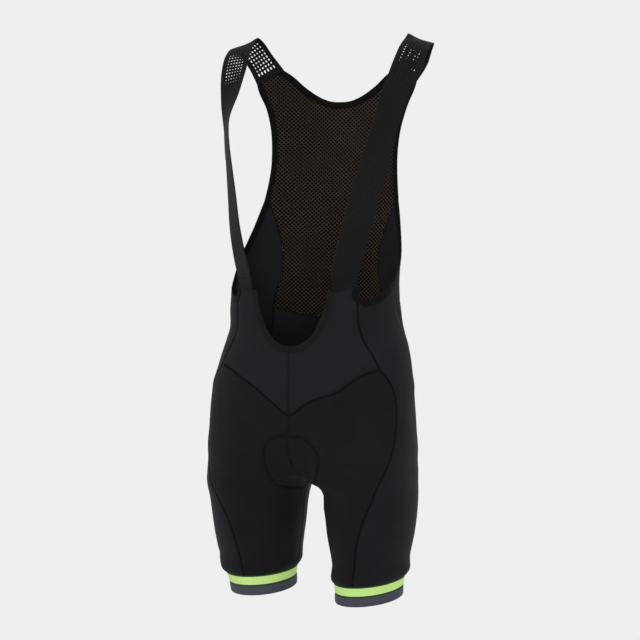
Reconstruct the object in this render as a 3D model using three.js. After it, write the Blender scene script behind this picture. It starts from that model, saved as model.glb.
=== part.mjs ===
// Cycling bib shorts, shown as worn with no wearer.
// Millimetres. +Z is up, +X is the wearer's left, -Y is the front.
// The origin lies midway between the tops of the two shoulder straps.
//
// Every panel lies on one worked-out body surface. A level of that surface
// is a rounded oval for each half of the body. The two halves blend at the
// middle, so the same levels run on into two separate legs.
import * as THREE from 'three';

// Driving sizes
const CLOTH_WALL = 1.2;
const MESH_WALL = 1.2;
const STRAP_WALL = 1.5;
const BINDING_WALL = 2.0;
const BINDING_PROUD = 0.4;
const BAND_WALL = 1.8;
const SEAM_GAP = 0.3;
const STRAP_WIDTH = 44;
const ARMHOLE_BINDING = 8;
const NECK_BINDING = 8.5;
const CROTCH_Z = -662;
const HEM_TOP_Z = -811;
const HEM_MIDDLE_Z = -828;
const HEM_BOTTOM_Z = -843;
const PAD_CORE = 6.5;
const PAD_EDGE = 2.2;
const PAD_LIFT = 3.0;
const PAD_LANES = 4;
const STRAP_ROWS = 34;
const STRAP_LANES = 4;

// Pose of the legs: each hem is turned and tilted a little
const LEG_TURN = 5.5;
const HEM_DROP_FRONT = 4.0;
const HEM_RISE_LEFT = 4.5;
const HEM_RISE_RIGHT = 3.5;
const LEG_SPIN_RIGHT = 5.0;

function table(names, rows) {
  const keys = names.split(' ');
  return rows.map((row) => Object.fromEntries(keys.map((key, i) => [key, row[i]])));
}

// Levels of the body, from the shoulders down to the hems.
// centre and half: side position and half width of one half of the body
// mid_y: front-back position, front and back: depths from there
// square: 2 is an ellipse, more is fuller; blend: rounding at the middle
const BODY = table('z centre half mid_y front back square blend', [
  [20, 0, 170, -12, 96, 104, 3.0, 4],
  [-40, 0, 168, -12, 96, 106, 3.0, 4],
  [-88, 0, 163, -12, 96, 106, 2.9, 4],
  [-164, 0, 149, -13, 97, 101, 2.5, 4],
  [-249, 0, 141, -14, 98, 88, 2.4, 4],
  [-316, 0, 135, -14, 98, 77, 2.3, 4],
  [-371, 0, 131, -14, 98, 70, 2.3, 4],
  [-405, 0, 133, -14, 99, 67, 2.3, 4],
  [-432, 0, 136.5, -14, 100, 66, 2.3, 4],
  [-454, 0, 144, -15, 100, 69, 2.3, 4],
  [-477, 0, 151.5, -17, 99, 75, 2.3, 6],
  [-500, 0, 156.5, -19, 97, 85, 2.3, 8],
  [-523, 0, 161, -22, 95, 98, 2.3, 12],
  [-555, 3, 160, -25, 92, 116, 2.3, 18],
  [-584, 18, 147, -26, 91, 125, 2.25, 22],
  [-612, 52, 114, -26, 91, 125, 2.2, 18],
  [-638, 74, 92, -25, 90, 118, 2.1, 11],
  [-652, 81.5, 85.5, -24, 89, 112, 2.1, 8],
  [-662, 86.5, 80.5, -23, 88, 107, 2.1, 6],
  [-680, 90.5, 76.5, -20, 86, 98.5, 2.05, 5],
  [-697, 92.5, 73.5, -17, 83, 90, 2.0, 4],
  [-743, 93, 67, -12, 76, 79, 2.0, 3],
  [-780, 92, 61, -8, 68, 70, 2.0, 2],
  [-807, 90, 57, -7, 63, 65, 2.0, 2],
  [-811, 89.5, 54.5, -7, 61, 63, 2.0, 2],
  [-843, 87, 50, -5, 57, 58, 2.0, 2],
]);

// Uneven fullness of the worn cloth on the wearer's right and left, and a
// small sideways shift of each leg on its inner side and on its outer side
const FULLNESS = table('z right left in_right in_left out_right out_left', [
  [20, 1.0, 1.0, 0, 0, 0, 0],
  [-43, 0.997, 1.001, 0, 0, 2.5, 0],
  [-100, 0.995, 1.002, 0, 0, 1, -4.5],
  [-134, 0.993, 1.002, 0, 0, 0, -5.5],
  [-163, 0.992, 1.003, 0, 0, 0, -4],
  [-194, 0.991, 1.003, 0, 0, 1.2, -1.5],
  [-236, 0.989, 1.004, 0, 0, 1.5, 0],
  [-330, 0.985, 1.005, 0, 0, 0, 0],
  [-371, 0.973, 1.01, 0, 0, 0, 0],
  [-409, 0.97, 1.02, 0, 0, 0, 0],
  [-440, 0.945, 1.03, 0, 0, 0, 0],
  [-477, 0.955, 1.01, 0, 0, 0, 0],
  [-510, 0.98, 0.99, 0, 0, 0, 0],
  [-600, 0.995, 0.975, 0, 0, 0, 0],
  [-662, 1.0, 0.975, 0, 0, 0, 0],
  [-667, 1.005, 0.972, 0, 7, 0, 0.2],
  [-673, 1.01, 0.97, 0, 12, 0, 0.5],
  [-680, 1.015, 0.968, 0, 12.5, 0, 0.8],
  [-690, 1.02, 0.965, 0, 8.5, 0, 1],
  [-705, 1.03, 0.96, 0, 4, 0, 1.5],
  [-740, 1.05, 0.96, -1, 4, -1, 2],
  [-780, 1.06, 0.95, -3, 4, -3, 1.5],
  [-811, 1.03, 0.99, -4.5, 3, -4.5, 2],
  [-843, 1.0, 1.0, -4.5, 3, -4.5, 3],
]);

// Places where the worn cloth is pulled sideways or down, fading out over reach
const PULLS = table('x z reach_x reach_z across up', [
  [44, -628, 22, 30, 7.5, 0],
  [-44, -628, 22, 30, 5.5, 0],
  [76, -515, 38, 27, 0, -12],
]);

// Seam lines on the wearer's left half, as angle round the body and height.
// The angle is -90 at the middle front, 0 at the side and 90 at the back.
const U_NECK = table('angle z', [
  [-89, -463],
  [-84, -461],
  [-78, -453],
  [-72.3, -440],
  [-67.5, -420],
  [-64, -402],
  [-61.2, -374],
]);
const STRAP_BASE = table('angle z', [
  [-61.2, -374],
  [-46, -365],
]);
const ARMHOLE_FRONT = table('angle z', [
  [-46, -365],
  [-48.5, -378],
  [-45.5, -390],
]);
const ARMHOLE_UNDER = table('angle z', [
  [-45.5, -390],
  [-40, -394],
  [-32, -391],
  [-21, -383],
  [-9, -370],
  [2, -354],
  [13, -338],
  [24, -320],
  [34, -293],
  [41, -265],
  [45, -246],
]);
const ARMHOLE_BACK = table('angle z', [
  [45, -246],
  [47.5, -225],
  [50, -195],
  [51.5, -160],
  [52, -125],
  [50.6, -95],
  [47.6, -73],
  [46, -57.5],
]);
const STRAP_BACK = table('angle z', [
  [46, -57.5],
  [56.5, -44],
]);
// Corners of the strap where it meets the back, at the edges of the bindings
const STRAP_BACK_OUTER = [43.6, -61];
const STRAP_BACK_INNER = [59.3, -39.7];
const NECK_BACK = table('angle z', [
  [56.5, -44],
  [62, -55.5],
  [69, -74.5],
  [76, -88.5],
  [82, -95.8],
  [86, -98],
  [89, -98.4],
]);
const SIDE_FRONT_UPPER = table('angle z', [
  [-45.5, -390],
  [-46, -415],
  [-44.5, -445],
  [-40, -468],
  [-36.5, -487],
]);
const SIDE_FRONT_LOWER = table('angle z', [
  [-36.5, -487],
  [-31, -500],
  [-27.5, -513],
  [-24, -532],
  [-22.6, -555],
  [-24, -580],
  [-29, -608],
  [-36, -631],
  [-50, -661],
  [-62, -687],
  [-74, -720],
  [-82, -755],
  [-86, -785],
  [-89, -811],
]);
const SIDE_BACK = table('angle z', [
  [48, -408],
  [47, -450],
  [43, -510],
  [38, -570],
  [35, -620],
  [38, -680],
  [46, -740],
  [54, -811],
]);
const MESH_SIDE = table('angle z', [
  [45, -246],
  [48.5, -266],
  [52, -292],
  [55, -325],
  [53, -356],
  [49.5, -383],
  [48, -408],
]);
const MESH_BOTTOM = table('angle z', [
  [89, -424],
  [82, -422.5],
  [68, -417],
  [48, -408],
]);
const V_SEAM = table('angle z', [
  [-85, -557],
  [-80, -541],
  [-70, -519],
  [-60, -505.5],
  [-50, -494.5],
  [-36.5, -487],
]);

// Shoulder strap, from the front base up over the shoulder to the back.
// turn: how far the outer edge swings to the back, for each side
// tilt: how far the outer edge drops
const STRAP = table('x y z turn_left turn_right tilt', [
  [81.5, -100, -350, 50, 40, 12],
  [89, -98, -322, 42, 43, 10],
  [98.5, -94, -281, 34, 47, 8],
  [107.5, -85.5, -236, 30, 50, 6],
  [119.5, -70, -186, 38, 54, 6],
  [130.5, -52, -134, 50, 57, 6],
  [137, -25.5, -82, 44, 30, 5],
  [142, -2, -43, 16, 6, 6],
  [144.5, 23, -14, -4, -6, 14],
  [145, 54, 0.5, -15, -15, 19],
  [140, 67, -6.5, -12, -12, 23],
  [131, 76, -24, -8, -8, 28],
]);

// Seat pad, along the middle line from the front, under, to the back.
// side is -1 in front of the lowest point and 1 behind it
const PAD = table('side z half_width', [
  [-1, -589, 20],
  [-1, -597, 33],
  [-1, -608, 41],
  [-1, -622, 44],
  [-1, -636, 42],
  [-1, -648, 37],
  [-1, -656, 28],
  [-1, -660.5, 22],
  [1, -662, 21],
  [1, -660.5, 24],
  [1, -656, 32],
  [1, -647, 42],
  [1, -634, 50],
  [1, -618, 56],
  [1, -600, 58],
  [1, -582, 54],
  [1, -569, 44],
  [1, -562, 30],
]);

// Cloth colours
const COLOUR = {
  bib: '#212025',
  leg: '#1f1c21',
  side: '#211f28',
  seat: '#1e1c20',
  mesh: '#1c1916',
  strap: '#22211f',
  binding: '#0e0d0b',
  green: '#a4cf5c',
  gripper: '#494b54',
  pad: '#2b2b30',
};

const rad = THREE.MathUtils.degToRad;
const deg = THREE.MathUtils.radToDeg;

// Smooth value of one column at a height. The slope at a row is a weighted
// mean of its two neighbours, and flat where the column turns.
function track(rows, key, z) {
  const last = rows.length - 1;
  const h = Math.min(Math.max(z, rows[last].z), rows[0].z);
  let i = 0;
  while (i < last - 1 && h < rows[i + 1].z) i += 1;
  const run = (j) => rows[j + 1].z - rows[j].z;
  const rise = (j) => (rows[j + 1][key] - rows[j][key]) / run(j);
  const slope = (j) => {
    if (j === 0) return rise(0);
    if (j === last) return rise(last - 1);
    const a = rise(j - 1);
    const b = rise(j);
    if (a * b <= 0) return 0;
    return (a * run(j) + b * run(j - 1)) / (run(j) + run(j - 1));
  };
  const s = (h - rows[i].z) / run(i);
  const v = 1 - s;
  const ends = (1 + 2 * s) * v * v * rows[i][key] + s * s * (3 - 2 * s) * rows[i + 1][key];
  return ends + run(i) * (s * v * v * slope(i) - s * s * v * slope(i + 1));
}

const levels = new Map();
function level(z) {
  if (!levels.has(z)) {
    const keys = ['centre', 'half', 'mid_y', 'front', 'back', 'square', 'blend'];
    levels.set(z, Object.fromEntries(keys.map((key) => [key, track(BODY, key, z)])));
  }
  return levels.get(z);
}

// Point of the body surface on the wearer's left half
function bodyPoint(angle, z) {
  const s = level(z);
  const c = Math.cos(rad(angle));
  const n = Math.sin(rad(angle));
  const r = Math.pow(Math.pow(Math.abs(c), s.square) + Math.pow(Math.abs(n), s.square), -1 / s.square);
  const reach = s.centre + s.half * c * r;
  const y = s.mid_y + (n < 0 ? s.front : s.back) * n * r;
  const x2 = reach < 0 ? 0 : reach * reach - s.blend * s.blend;
  return new THREE.Vector3(Math.sqrt(Math.max(0, x2)), y, z);
}

// Below zero inside the body, above zero outside
function bodyField(x, y, z) {
  const s = level(z);
  const reach = Math.sqrt(x * x + s.blend * s.blend);
  const depth = y < s.mid_y ? s.front : s.back;
  const across = Math.pow(Math.abs(reach - s.centre) / s.half, s.square);
  return across + Math.pow(Math.abs(y - s.mid_y) / depth, s.square) - 1;
}

function bodyNormal(p) {
  const e = 0.05;
  const gx = bodyField(p.x + e, p.y, p.z) - bodyField(p.x - e, p.y, p.z);
  const gy = bodyField(p.x, p.y + e, p.z) - bodyField(p.x, p.y - e, p.z);
  const gz = bodyField(p.x, p.y, p.z + e) - bodyField(p.x, p.y, p.z - e);
  return new THREE.Vector3(gx, gy, gz).normalize();
}

// Angle at which a level meets the middle plane, in front or behind.
// Below the crotch it is the inside of the leg, at 180.
function middleAngle(z, side) {
  const s = level(z);
  const v = Math.max(-1, (s.blend - s.centre) / s.half);
  if (v <= -1) return 180 * side;
  const rise = Math.pow(Math.max(Math.abs(v), 1e-6), -s.square) - 1;
  const q = deg(Math.atan(Math.pow(rise, 1 / s.square)));
  return side * (v < 0 ? 180 - q : q);
}

function smoothStep(x, a, b) {
  const s = Math.min(Math.max((x - a) / (b - a), 0), 1);
  return s * s * (3 - 2 * s);
}

// Takes a point of the even garment to the posed one
function posed(p) {
  const side = p.x < 0 ? 'right' : 'left';
  const sign = p.x < 0 ? -1 : 1;
  const axis = track(BODY, 'centre', p.z);
  const hold = sign * axis * smoothStep(-p.z, 655, 700);
  const fuller = hold + (p.x - hold) * track(FULLNESS, side, p.z);
  const wide = smoothStep(Math.abs(p.x), 60, 150);
  const inner = track(FULLNESS, 'in_' + side, p.z) * (1 - wide);
  const x = fuller + inner + track(FULLNESS, 'out_' + side, p.z) * wide;
  const low = smoothStep(-p.z, 690, 795);
  const front = Math.tan(rad(HEM_DROP_FRONT)) * (p.y - track(BODY, 'mid_y', p.z));
  const rise = p.x < 0 ? HEM_RISE_RIGHT : HEM_RISE_LEFT;
  const roll = Math.tan(rad(rise)) * (x - sign * axis);
  const turn = rad(LEG_TURN) * smoothStep(-p.z, 560, 800);
  const px = x * Math.cos(turn) + p.y * Math.sin(turn);
  const py = p.y * Math.cos(turn) - x * Math.sin(turn);
  const q = new THREE.Vector3(px, py, p.z + low * (front + roll));
  if (p.x < 0) {
    const spin = rad(LEG_SPIN_RIGHT) * smoothStep(-p.z, 662, 740);
    const centre = new THREE.Vector3(-axis, track(BODY, 'mid_y', p.z), q.z);
    q.sub(centre).applyAxisAngle(new THREE.Vector3(0, 0, 1), spin).add(centre);
  }
  PULLS.forEach((row) => {
    const near = Math.exp(-(((p.x - row.x) / row.reach_x) ** 2) - ((p.z - row.z) / row.reach_z) ** 2);
    q.x += row.across * near;
    q.z += row.up * near;
  });
  return q;
}

// Even run of points through a seam table, as angle and height
function seam(rows, count) {
  const mm = (row) => new THREE.Vector3(row.angle * 2.4, row.z, 0);
  const curve = new THREE.CatmullRomCurve3(rows.map(mm), false, 'centripetal');
  const run = curve.getSpacedPoints(count).map((p) => [p.x / 2.4, p.y]);
  run[0] = [rows[0].angle, rows[0].z];
  run[count] = [rows[rows.length - 1].angle, rows[rows.length - 1].z];
  return run;
}

function joined(...runs) {
  return runs.reduce((all, run) => all.concat(run.slice(1)), [runs[0][0]]);
}

function reversed(run) {
  return [...run].reverse();
}

// Run of points down the middle line, in front or behind
function middleRun(heights, side) {
  return heights.map((z) => [middleAngle(z, side), z]);
}

// Even run round the leg at the top of the hem band
function hemRun(from, to, count) {
  const run = [];
  for (let j = 0; j <= count; j += 1) run.push([from + (to - from) * (j / count), HEM_TOP_Z]);
  return run;
}

// Snaps the end of a seam on to the middle line
function snapped(run, index, side) {
  const out = run.map((q) => [...q]);
  out[index][0] = middleAngle(out[index][1], side);
  return out;
}

// Fills the area between four runs of points, angles measured from a base.
// A larger pull keeps the bends of the two sides close to the sides.
function fill(top, bottom, left, right, base, pull = 1) {
  const rows = left.length - 1;
  const cols = top.length - 1;
  const from = ([angle, z]) => [angle - base(z), z];
  const t = top.map(from);
  const b = bottom.map(from);
  const l = left.map(from);
  const r = right.map(from);
  const grid = [];
  for (let i = 0; i <= rows; i += 1) {
    const f = i / rows;
    const line = [];
    for (let j = 0; j <= cols; j += 1) {
      const u = j / cols;
      const nearLeft = Math.pow(1 - u, pull);
      const nearRight = Math.pow(u, pull);
      const mix = [0, 1].map((k) => {
        const down = (1 - f) * t[j][k] + f * b[j][k];
        const bendLeft = l[i][k] - (1 - f) * t[0][k] - f * b[0][k];
        const bendRight = r[i][k] - (1 - f) * t[cols][k] - f * b[cols][k];
        return down + nearLeft * bendLeft + nearRight * bendRight;
      });
      line.push([mix[0] + base(mix[1]), mix[1]]);
    }
    grid.push(line);
  }
  return grid;
}

function onBody(grid) {
  return grid.map((line) => line.map(([angle, z]) => {
    const p = bodyPoint(angle, z);
    return { p, n: bodyNormal(p) };
  }));
}

// The outline of a grid as one loop of places
function outline(rows, cols) {
  const loop = [];
  for (let j = 0; j < cols; j += 1) loop.push([0, j]);
  for (let i = 0; i < rows; i += 1) loop.push([i, cols]);
  for (let j = cols; j > 0; j -= 1) loop.push([rows, j]);
  for (let i = rows; i > 0; i -= 1) loop.push([i, 0]);
  return loop;
}

// Moves the outline of a grid inwards by half the seam gap
function inset(grid, amount) {
  const rows = grid.length - 1;
  const cols = grid[0].length - 1;
  const loop = outline(rows, cols);
  const at = (k) => {
    const [i, j] = loop[(k + loop.length) % loop.length];
    return grid[i][j];
  };
  const mid = grid[Math.floor(rows / 2)][Math.floor(cols / 2)];
  const across = grid[Math.floor(rows / 2)][Math.floor(cols / 2) + 1].p.clone().sub(mid.p);
  const down = grid[Math.floor(rows / 2) + 1][Math.floor(cols / 2)].p.clone().sub(mid.p);
  const sign = new THREE.Vector3().crossVectors(mid.n, across).dot(down) > 0 ? 1 : -1;
  const moves = loop.map((place, k) => {
    const here = at(k);
    const a = here.p.clone().sub(at(k - 1).p);
    const b = at(k + 1).p.clone().sub(here.p);
    const d1 = new THREE.Vector3().crossVectors(here.n, a).normalize();
    const d2 = new THREE.Vector3().crossVectors(here.n, b).normalize();
    const share = Math.max(1 + d1.dot(d2), 0.35);
    return d1.add(d2).multiplyScalar(sign * amount / share);
  });
  loop.forEach(([i, j], k) => grid[i][j].p.add(moves[k]));
  return grid;
}

function mirrored(grid) {
  return grid.map((line) => line.map(({ p, n }) => ({
    p: new THREE.Vector3(-p.x, p.y, p.z),
    n: new THREE.Vector3(-n.x, n.y, n.z),
  })));
}

function solid(name, points, faces, colour, rough) {
  const geometry = new THREE.BufferGeometry();
  const flat = points.flatMap((p) => [p.x, p.y, p.z]);
  geometry.setAttribute('position', new THREE.Float32BufferAttribute(flat, 3));
  geometry.setIndex(faces.flat());
  geometry.computeVertexNormals();
  const material = new THREE.MeshStandardMaterial({ color: colour, roughness: rough });
  material.name = name + '_cloth';
  const mesh = new THREE.Mesh(geometry, material);
  mesh.name = name;
  return mesh;
}

// Closed wall from a grid: proud is how far the outer face stands out,
// deep(i, j) how far the inner face lies in
function wall(name, grid, proud, deep, colour, rough = 0.8) {
  const rows = grid.length - 1;
  const cols = grid[0].length - 1;
  const count = (rows + 1) * (cols + 1);
  const id = (i, j) => i * (cols + 1) + j;
  const places = grid.flatMap((line, i) => line.map((q, j) => ({ ...q, i, j })));
  const outer = places.map(({ p, n }) => posed(p.clone().addScaledVector(n, proud)));
  const inner = places.map(({ p, n, i, j }) => posed(p.clone().addScaledVector(n, -deep(i, j))));
  const ri = Math.floor(rows / 2);
  const ci = Math.floor(cols / 2);
  const g = grid[ri][ci];
  const du = grid[ri][ci + 1].p.clone().sub(g.p);
  const dv = grid[ri + 1][ci].p.clone().sub(g.p);
  const keep = new THREE.Vector3().crossVectors(dv, du).dot(g.n) > 0;
  const faces = [];
  const quad = (a, b, c, d) => {
    faces.push(keep ? [a, b, c] : [a, c, b]);
    faces.push(keep ? [a, c, d] : [a, d, c]);
  };
  for (let i = 0; i < rows; i += 1) {
    for (let j = 0; j < cols; j += 1) {
      quad(id(i, j), id(i + 1, j), id(i + 1, j + 1), id(i, j + 1));
      quad(count + id(i, j), count + id(i, j + 1), count + id(i + 1, j + 1), count + id(i + 1, j));
    }
  }
  const loop = outline(rows, cols).map(([i, j]) => id(i, j));
  loop.forEach((a, k) => {
    const b = loop[(k + 1) % loop.length];
    quad(a, b, count + b, count + a);
  });
  return solid(name, outer.concat(inner), faces, colour, rough);
}

const garment = new THREE.Group();
garment.name = 'cycling_bib_shorts';

// Adds a piece for the wearer's left and its mirror for the right
function pair(name, grid, proud, deep, colour, rough) {
  garment.add(wall(name + '_left', grid, proud, deep, colour, rough));
  garment.add(wall(name + '_right', mirrored(grid), proud, deep, colour, rough));
}

const even = (depth) => () => depth;
const frontBase = (z) => middleAngle(z, -1);
const backBase = (z) => middleAngle(z, 1);
const noBase = () => 0;

// Heights of the rows on the middle lines
const bibHeights = [-463, -475, -487, -499, -511, -523, -535, -546, -557];
const frontHeights = [-557, -574, -590, -605, -619, -631, -641, -650, -656.5, -660.5, CROTCH_Z];
const backHeights = [-424, -470, -514, -553, -584, -606, -624, -639, -651, -659, CROTCH_Z];
const insideHeights = [CROTCH_Z, -675, -692, -716, -745, -778, HEM_TOP_Z];

// Seam runs, each used by both pieces that meet there
const uNeck = snapped(seam(U_NECK, 7), 0, -1);
const strapBase = seam(STRAP_BASE, 4);
const armholeFront = seam(ARMHOLE_FRONT, 2);
const armholeUnder = seam(ARMHOLE_UNDER, 12);
const armholeBack = seam(ARMHOLE_BACK, 7);
const strapBack = seam(STRAP_BACK, 2);
const neckBack = snapped(seam(NECK_BACK, 7), 7, 1);
const sideFrontUpper = seam(SIDE_FRONT_UPPER, 6);
const sideFrontLower = seam(SIDE_FRONT_LOWER, 16);
const sideBack = seam(SIDE_BACK, 16);
const meshSide = seam(MESH_SIDE, 6);
const meshBottom = snapped(seam(MESH_BOTTOM, 9), 0, 1);
const vSeam = snapped(seam(V_SEAM, 11), 0, -1);
const insideLeg = insideHeights.map((z) => [-180, z]);
const insideLegBack = insideHeights.map((z) => [180, z]);
const hemFront = hemRun(-180, -89, 11);
const hemSide = hemRun(-89, 54, 12);
const hemBack = hemRun(180, 54, 9);

// Panels on the body surface
function panel(top, bottom, left, right, base, pull) {
  return inset(onBody(fill(top, bottom, left, right, base, pull)), SEAM_GAP / 2);
}

const bibSide = joined(armholeFront, sideFrontUpper);
const bibTop = joined(uNeck, strapBase);
const bibGrid = panel(bibTop, vSeam, middleRun(bibHeights, -1), bibSide, frontBase, 3);
pair('front_bib', bibGrid, 0, even(CLOTH_WALL), COLOUR.bib);

const frontMiddle = joined(middleRun(frontHeights, -1), insideLeg);
const legFrontGrid = panel(vSeam, hemFront, frontMiddle, sideFrontLower, frontBase);
pair('leg_front', legFrontGrid, 0, even(CLOTH_WALL), COLOUR.leg);

const sideFront = joined(sideFrontUpper, sideFrontLower);
const sideRear = joined(meshSide, sideBack);
const sideGrid = panel(armholeUnder, hemSide, sideFront, sideRear, noBase);
pair('side_panel', sideGrid, 0, even(CLOTH_WALL), COLOUR.side);

const backMiddle = joined(middleRun(backHeights, 1), insideLegBack);
const legBackGrid = panel(meshBottom, hemBack, backMiddle, sideBack, backBase);
pair('leg_back', legBackGrid, 0, even(CLOTH_WALL), COLOUR.seat);

// Mesh back, one piece across the middle
const meshTop = reversed(joined(strapBack, neckBack));
const meshRight = joined(reversed(armholeBack), meshSide);
const meshHeights = [];
for (let i = 0; i <= 13; i += 1) meshHeights.push(-98.4 + (98.4 - 424) * (i / 13));
const meshHalf = onBody(fill(meshTop, meshBottom, middleRun(meshHeights, 1), meshRight, backBase));
const meshGrid = meshHalf.map((line, i) => [...mirrored(meshHalf)[i].slice(1).reverse(), ...line]);
garment.add(wall('back_mesh', inset(meshGrid, SEAM_GAP / 2), 0, even(MESH_WALL), COLOUR.mesh));

// Bindings: tapes that run along an edge, from the seam to the free edge

// Moves a point over the body surface
function slid(p, n, move) {
  const q = p.clone().add(move);
  for (let k = 0; k < 3; k += 1) {
    const g = bodyNormal(q);
    const h = 0.05;
    const rise = bodyField(q.x + g.x * h, q.y + g.y * h, q.z + g.z * h) - bodyField(q.x, q.y, q.z);
    q.addScaledVector(g, -bodyField(q.x, q.y, q.z) * h / rise);
  }
  return q;
}

// Grid of a tape: each row goes from the seam to the free edge
function tape(run, width, side, first, last) {
  const line = onBody([run])[0];
  return line.map(({ p, n }, i) => {
    const before = line[Math.max(i - 1, 0)].p;
    const after = line[Math.min(i + 1, line.length - 1)].p;
    const along = after.clone().sub(before);
    if (p.x === 0) along.set(Math.sign(along.x), 0, 0);
    const over = new THREE.Vector3().crossVectors(n, along).normalize().multiplyScalar(side * width);
    let q = slid(p, n, over);
    if (i === 0 && first) q = bodyPoint(...first);
    if (i === line.length - 1 && last) q = bodyPoint(...last);
    const mid = slid(p, n, q.clone().sub(p).multiplyScalar(0.5));
    return [p, mid, q].map((v) => ({ p: v.clone(), n: bodyNormal(v) }));
  });
}

// A half tape and its mirror as one tape across the middle
function across(half) {
  return [...mirrored(half).slice(1).reverse(), ...half];
}

const rounded = (i, j) => (j === 1 ? BINDING_WALL : BINDING_WALL - 0.3);
const armholeRun = joined(armholeFront, armholeUnder, armholeBack);
const armholeTape = inset(tape(armholeRun, ARMHOLE_BINDING, 1, null, STRAP_BACK_OUTER), SEAM_GAP / 2);
pair('armhole_binding', armholeTape, BINDING_PROUD, rounded, COLOUR.binding);

const uTape = inset(across(tape(uNeck, NECK_BINDING, 1, null, null)), SEAM_GAP / 2);
garment.add(wall('neck_binding_front', uTape, BINDING_PROUD, rounded, COLOUR.binding));

const neckHalf = reversed(tape(neckBack, NECK_BINDING, 1, STRAP_BACK_INNER, null));
const neckTape = inset(across(neckHalf), SEAM_GAP / 2);
garment.add(wall('neck_binding_back', neckTape, BINDING_PROUD, rounded, COLOUR.binding));

// Shoulder straps
function strapGrid(turnKey, rows, lanes) {
  const corners = (run) => onBody([run])[0].map((q) => q.p);
  const base = corners(strapBase);
  const backRun = [STRAP_BACK_OUTER, ...strapBack, STRAP_BACK_INNER];
  const back = corners(reversed(backRun));
  const centre = [base[0].clone().lerp(base[lanes], 0.5)];
  const reach = [base[lanes].clone().sub(base[0]).multiplyScalar(0.5)];
  STRAP.forEach((row) => {
    const turn = rad(row[turnKey]);
    const tilt = rad(row.tilt);
    const flat = Math.cos(tilt);
    const w = new THREE.Vector3(Math.cos(turn) * flat, Math.sin(turn) * flat, -Math.sin(tilt));
    centre.push(new THREE.Vector3(row.x, row.y, row.z));
    reach.push(w.multiplyScalar(STRAP_WIDTH / 2));
  });
  centre.push(back[0].clone().lerp(back[lanes], 0.5));
  reach.push(back[lanes].clone().sub(back[0]).multiplyScalar(0.5));
  const path = new THREE.CatmullRomCurve3(centre, false, 'centripetal');
  const width = new THREE.CatmullRomCurve3(reach, false, 'centripetal');
  path.arcLengthDivisions = 600;
  const grid = [];
  for (let i = 0; i <= rows; i += 1) {
    const u = path.getUtoTmapping(i / rows);
    const c = path.getPoint(u);
    const t = path.getTangent(u);
    const w = width.getPoint(u);
    const size = w.length();
    const square = w.clone().addScaledVector(t, -w.dot(t)).normalize().multiplyScalar(size);
    const hold = Math.min(1, i / 3, (rows - i) / 3);
    const n = new THREE.Vector3().crossVectors(square, t).normalize();
    const half = w.clone().lerp(square, hold);
    const line = [];
    for (let j = 0; j <= lanes; j += 1) {
      const even = j / lanes;
      const late = [0, 0.17, 0.5, 0.83, 1][j];
      const f = even + (late - even) * (i / rows);
      line.push({ p: c.clone().addScaledVector(half, 2 * f - 1), n: n.clone() });
    }
    grid.push(line);
  }
  grid[0].forEach((q, j) => q.p.copy(base[j]));
  grid[rows].forEach((q, j) => q.p.copy(back[j]));
  [grid[0], grid[rows]].forEach((line) => line.forEach((q) => q.n.copy(bodyNormal(q.p))));
  return grid;
}

const strapLeft = inset(strapGrid('turn_left', STRAP_ROWS, STRAP_LANES), SEAM_GAP / 2);
const strapRight = inset(strapGrid('turn_right', STRAP_ROWS, STRAP_LANES), SEAM_GAP / 2);
garment.add(wall('strap_left', strapLeft, 0, even(STRAP_WALL), COLOUR.strap));
garment.add(wall('strap_right', mirrored(strapRight), 0, even(STRAP_WALL), COLOUR.strap));

// Hem bands, closed rings below the leg panels
function band(name, heights, colour, rough) {
  const round = joined(hemFront, hemSide, reversed(hemBack)).slice(1).map((q) => q[0]);
  const grid = onBody(heights.map((z) => round.map((angle) => [angle, z])));
  const rows = heights.length - 1;
  const cols = round.length;
  const faces = [];
  const count = (rows + 1) * cols;
  const id = (i, j) => i * cols + (j % cols);
  const quad = (a, b, c, d) => faces.push([a, b, c], [a, c, d]);
  for (let j = 0; j < cols; j += 1) {
    for (let i = 0; i < rows; i += 1) {
      quad(id(i, j), id(i + 1, j), id(i + 1, j + 1), id(i, j + 1));
      quad(count + id(i, j), count + id(i, j + 1), count + id(i + 1, j + 1), count + id(i + 1, j));
    }
    quad(id(0, j), id(0, j + 1), count + id(0, j + 1), count + id(0, j));
    quad(id(rows, j + 1), id(rows, j), count + id(rows, j), count + id(rows, j + 1));
  }
  const flip = faces.map(([a, b, c]) => [a, c, b]);
  const points = (g) => {
    const outer = g.flatMap((line) => line.map(({ p }) => posed(p)));
    const inner = g.flatMap((line) => line.map(({ p, n }) => posed(p.clone().addScaledVector(n, -BAND_WALL))));
    return outer.concat(inner);
  };
  garment.add(solid(name + '_left', points(grid), faces, colour, rough));
  garment.add(solid(name + '_right', points(mirrored(grid)), flip, colour, rough));
}

const gap = SEAM_GAP / 2;
band('hem_green', [HEM_TOP_Z - gap, (HEM_TOP_Z + HEM_MIDDLE_Z) / 2, HEM_MIDDLE_Z + gap], COLOUR.green, 0.7);
band('hem_grey', [HEM_MIDDLE_Z - gap, (HEM_MIDDLE_Z + HEM_BOTTOM_Z) / 2, HEM_BOTTOM_Z], COLOUR.gripper, 0.6);

// Seat pad, inside the front and back leg panels
function walked(p, n, distance) {
  const q = p.clone();
  const steps = Math.max(1, Math.ceil(distance / 1.2));
  for (let k = 0; k < steps; k += 1) {
    const g = bodyNormal(q);
    const gn = g.dot(n);
    const size = Math.hypot(g.x, gn) || 1;
    q.addScaledVector(n, -(g.x / size) * (distance / steps));
    q.x += (gn / size) * (distance / steps);
    const h = 0.05;
    const rise = bodyField(q.x + g.x * h, q.y + g.y * h, q.z + g.z * h) - bodyField(q.x, q.y, q.z);
    q.addScaledVector(g, -bodyField(q.x, q.y, q.z) * h / rise);
  }
  return q;
}

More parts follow.
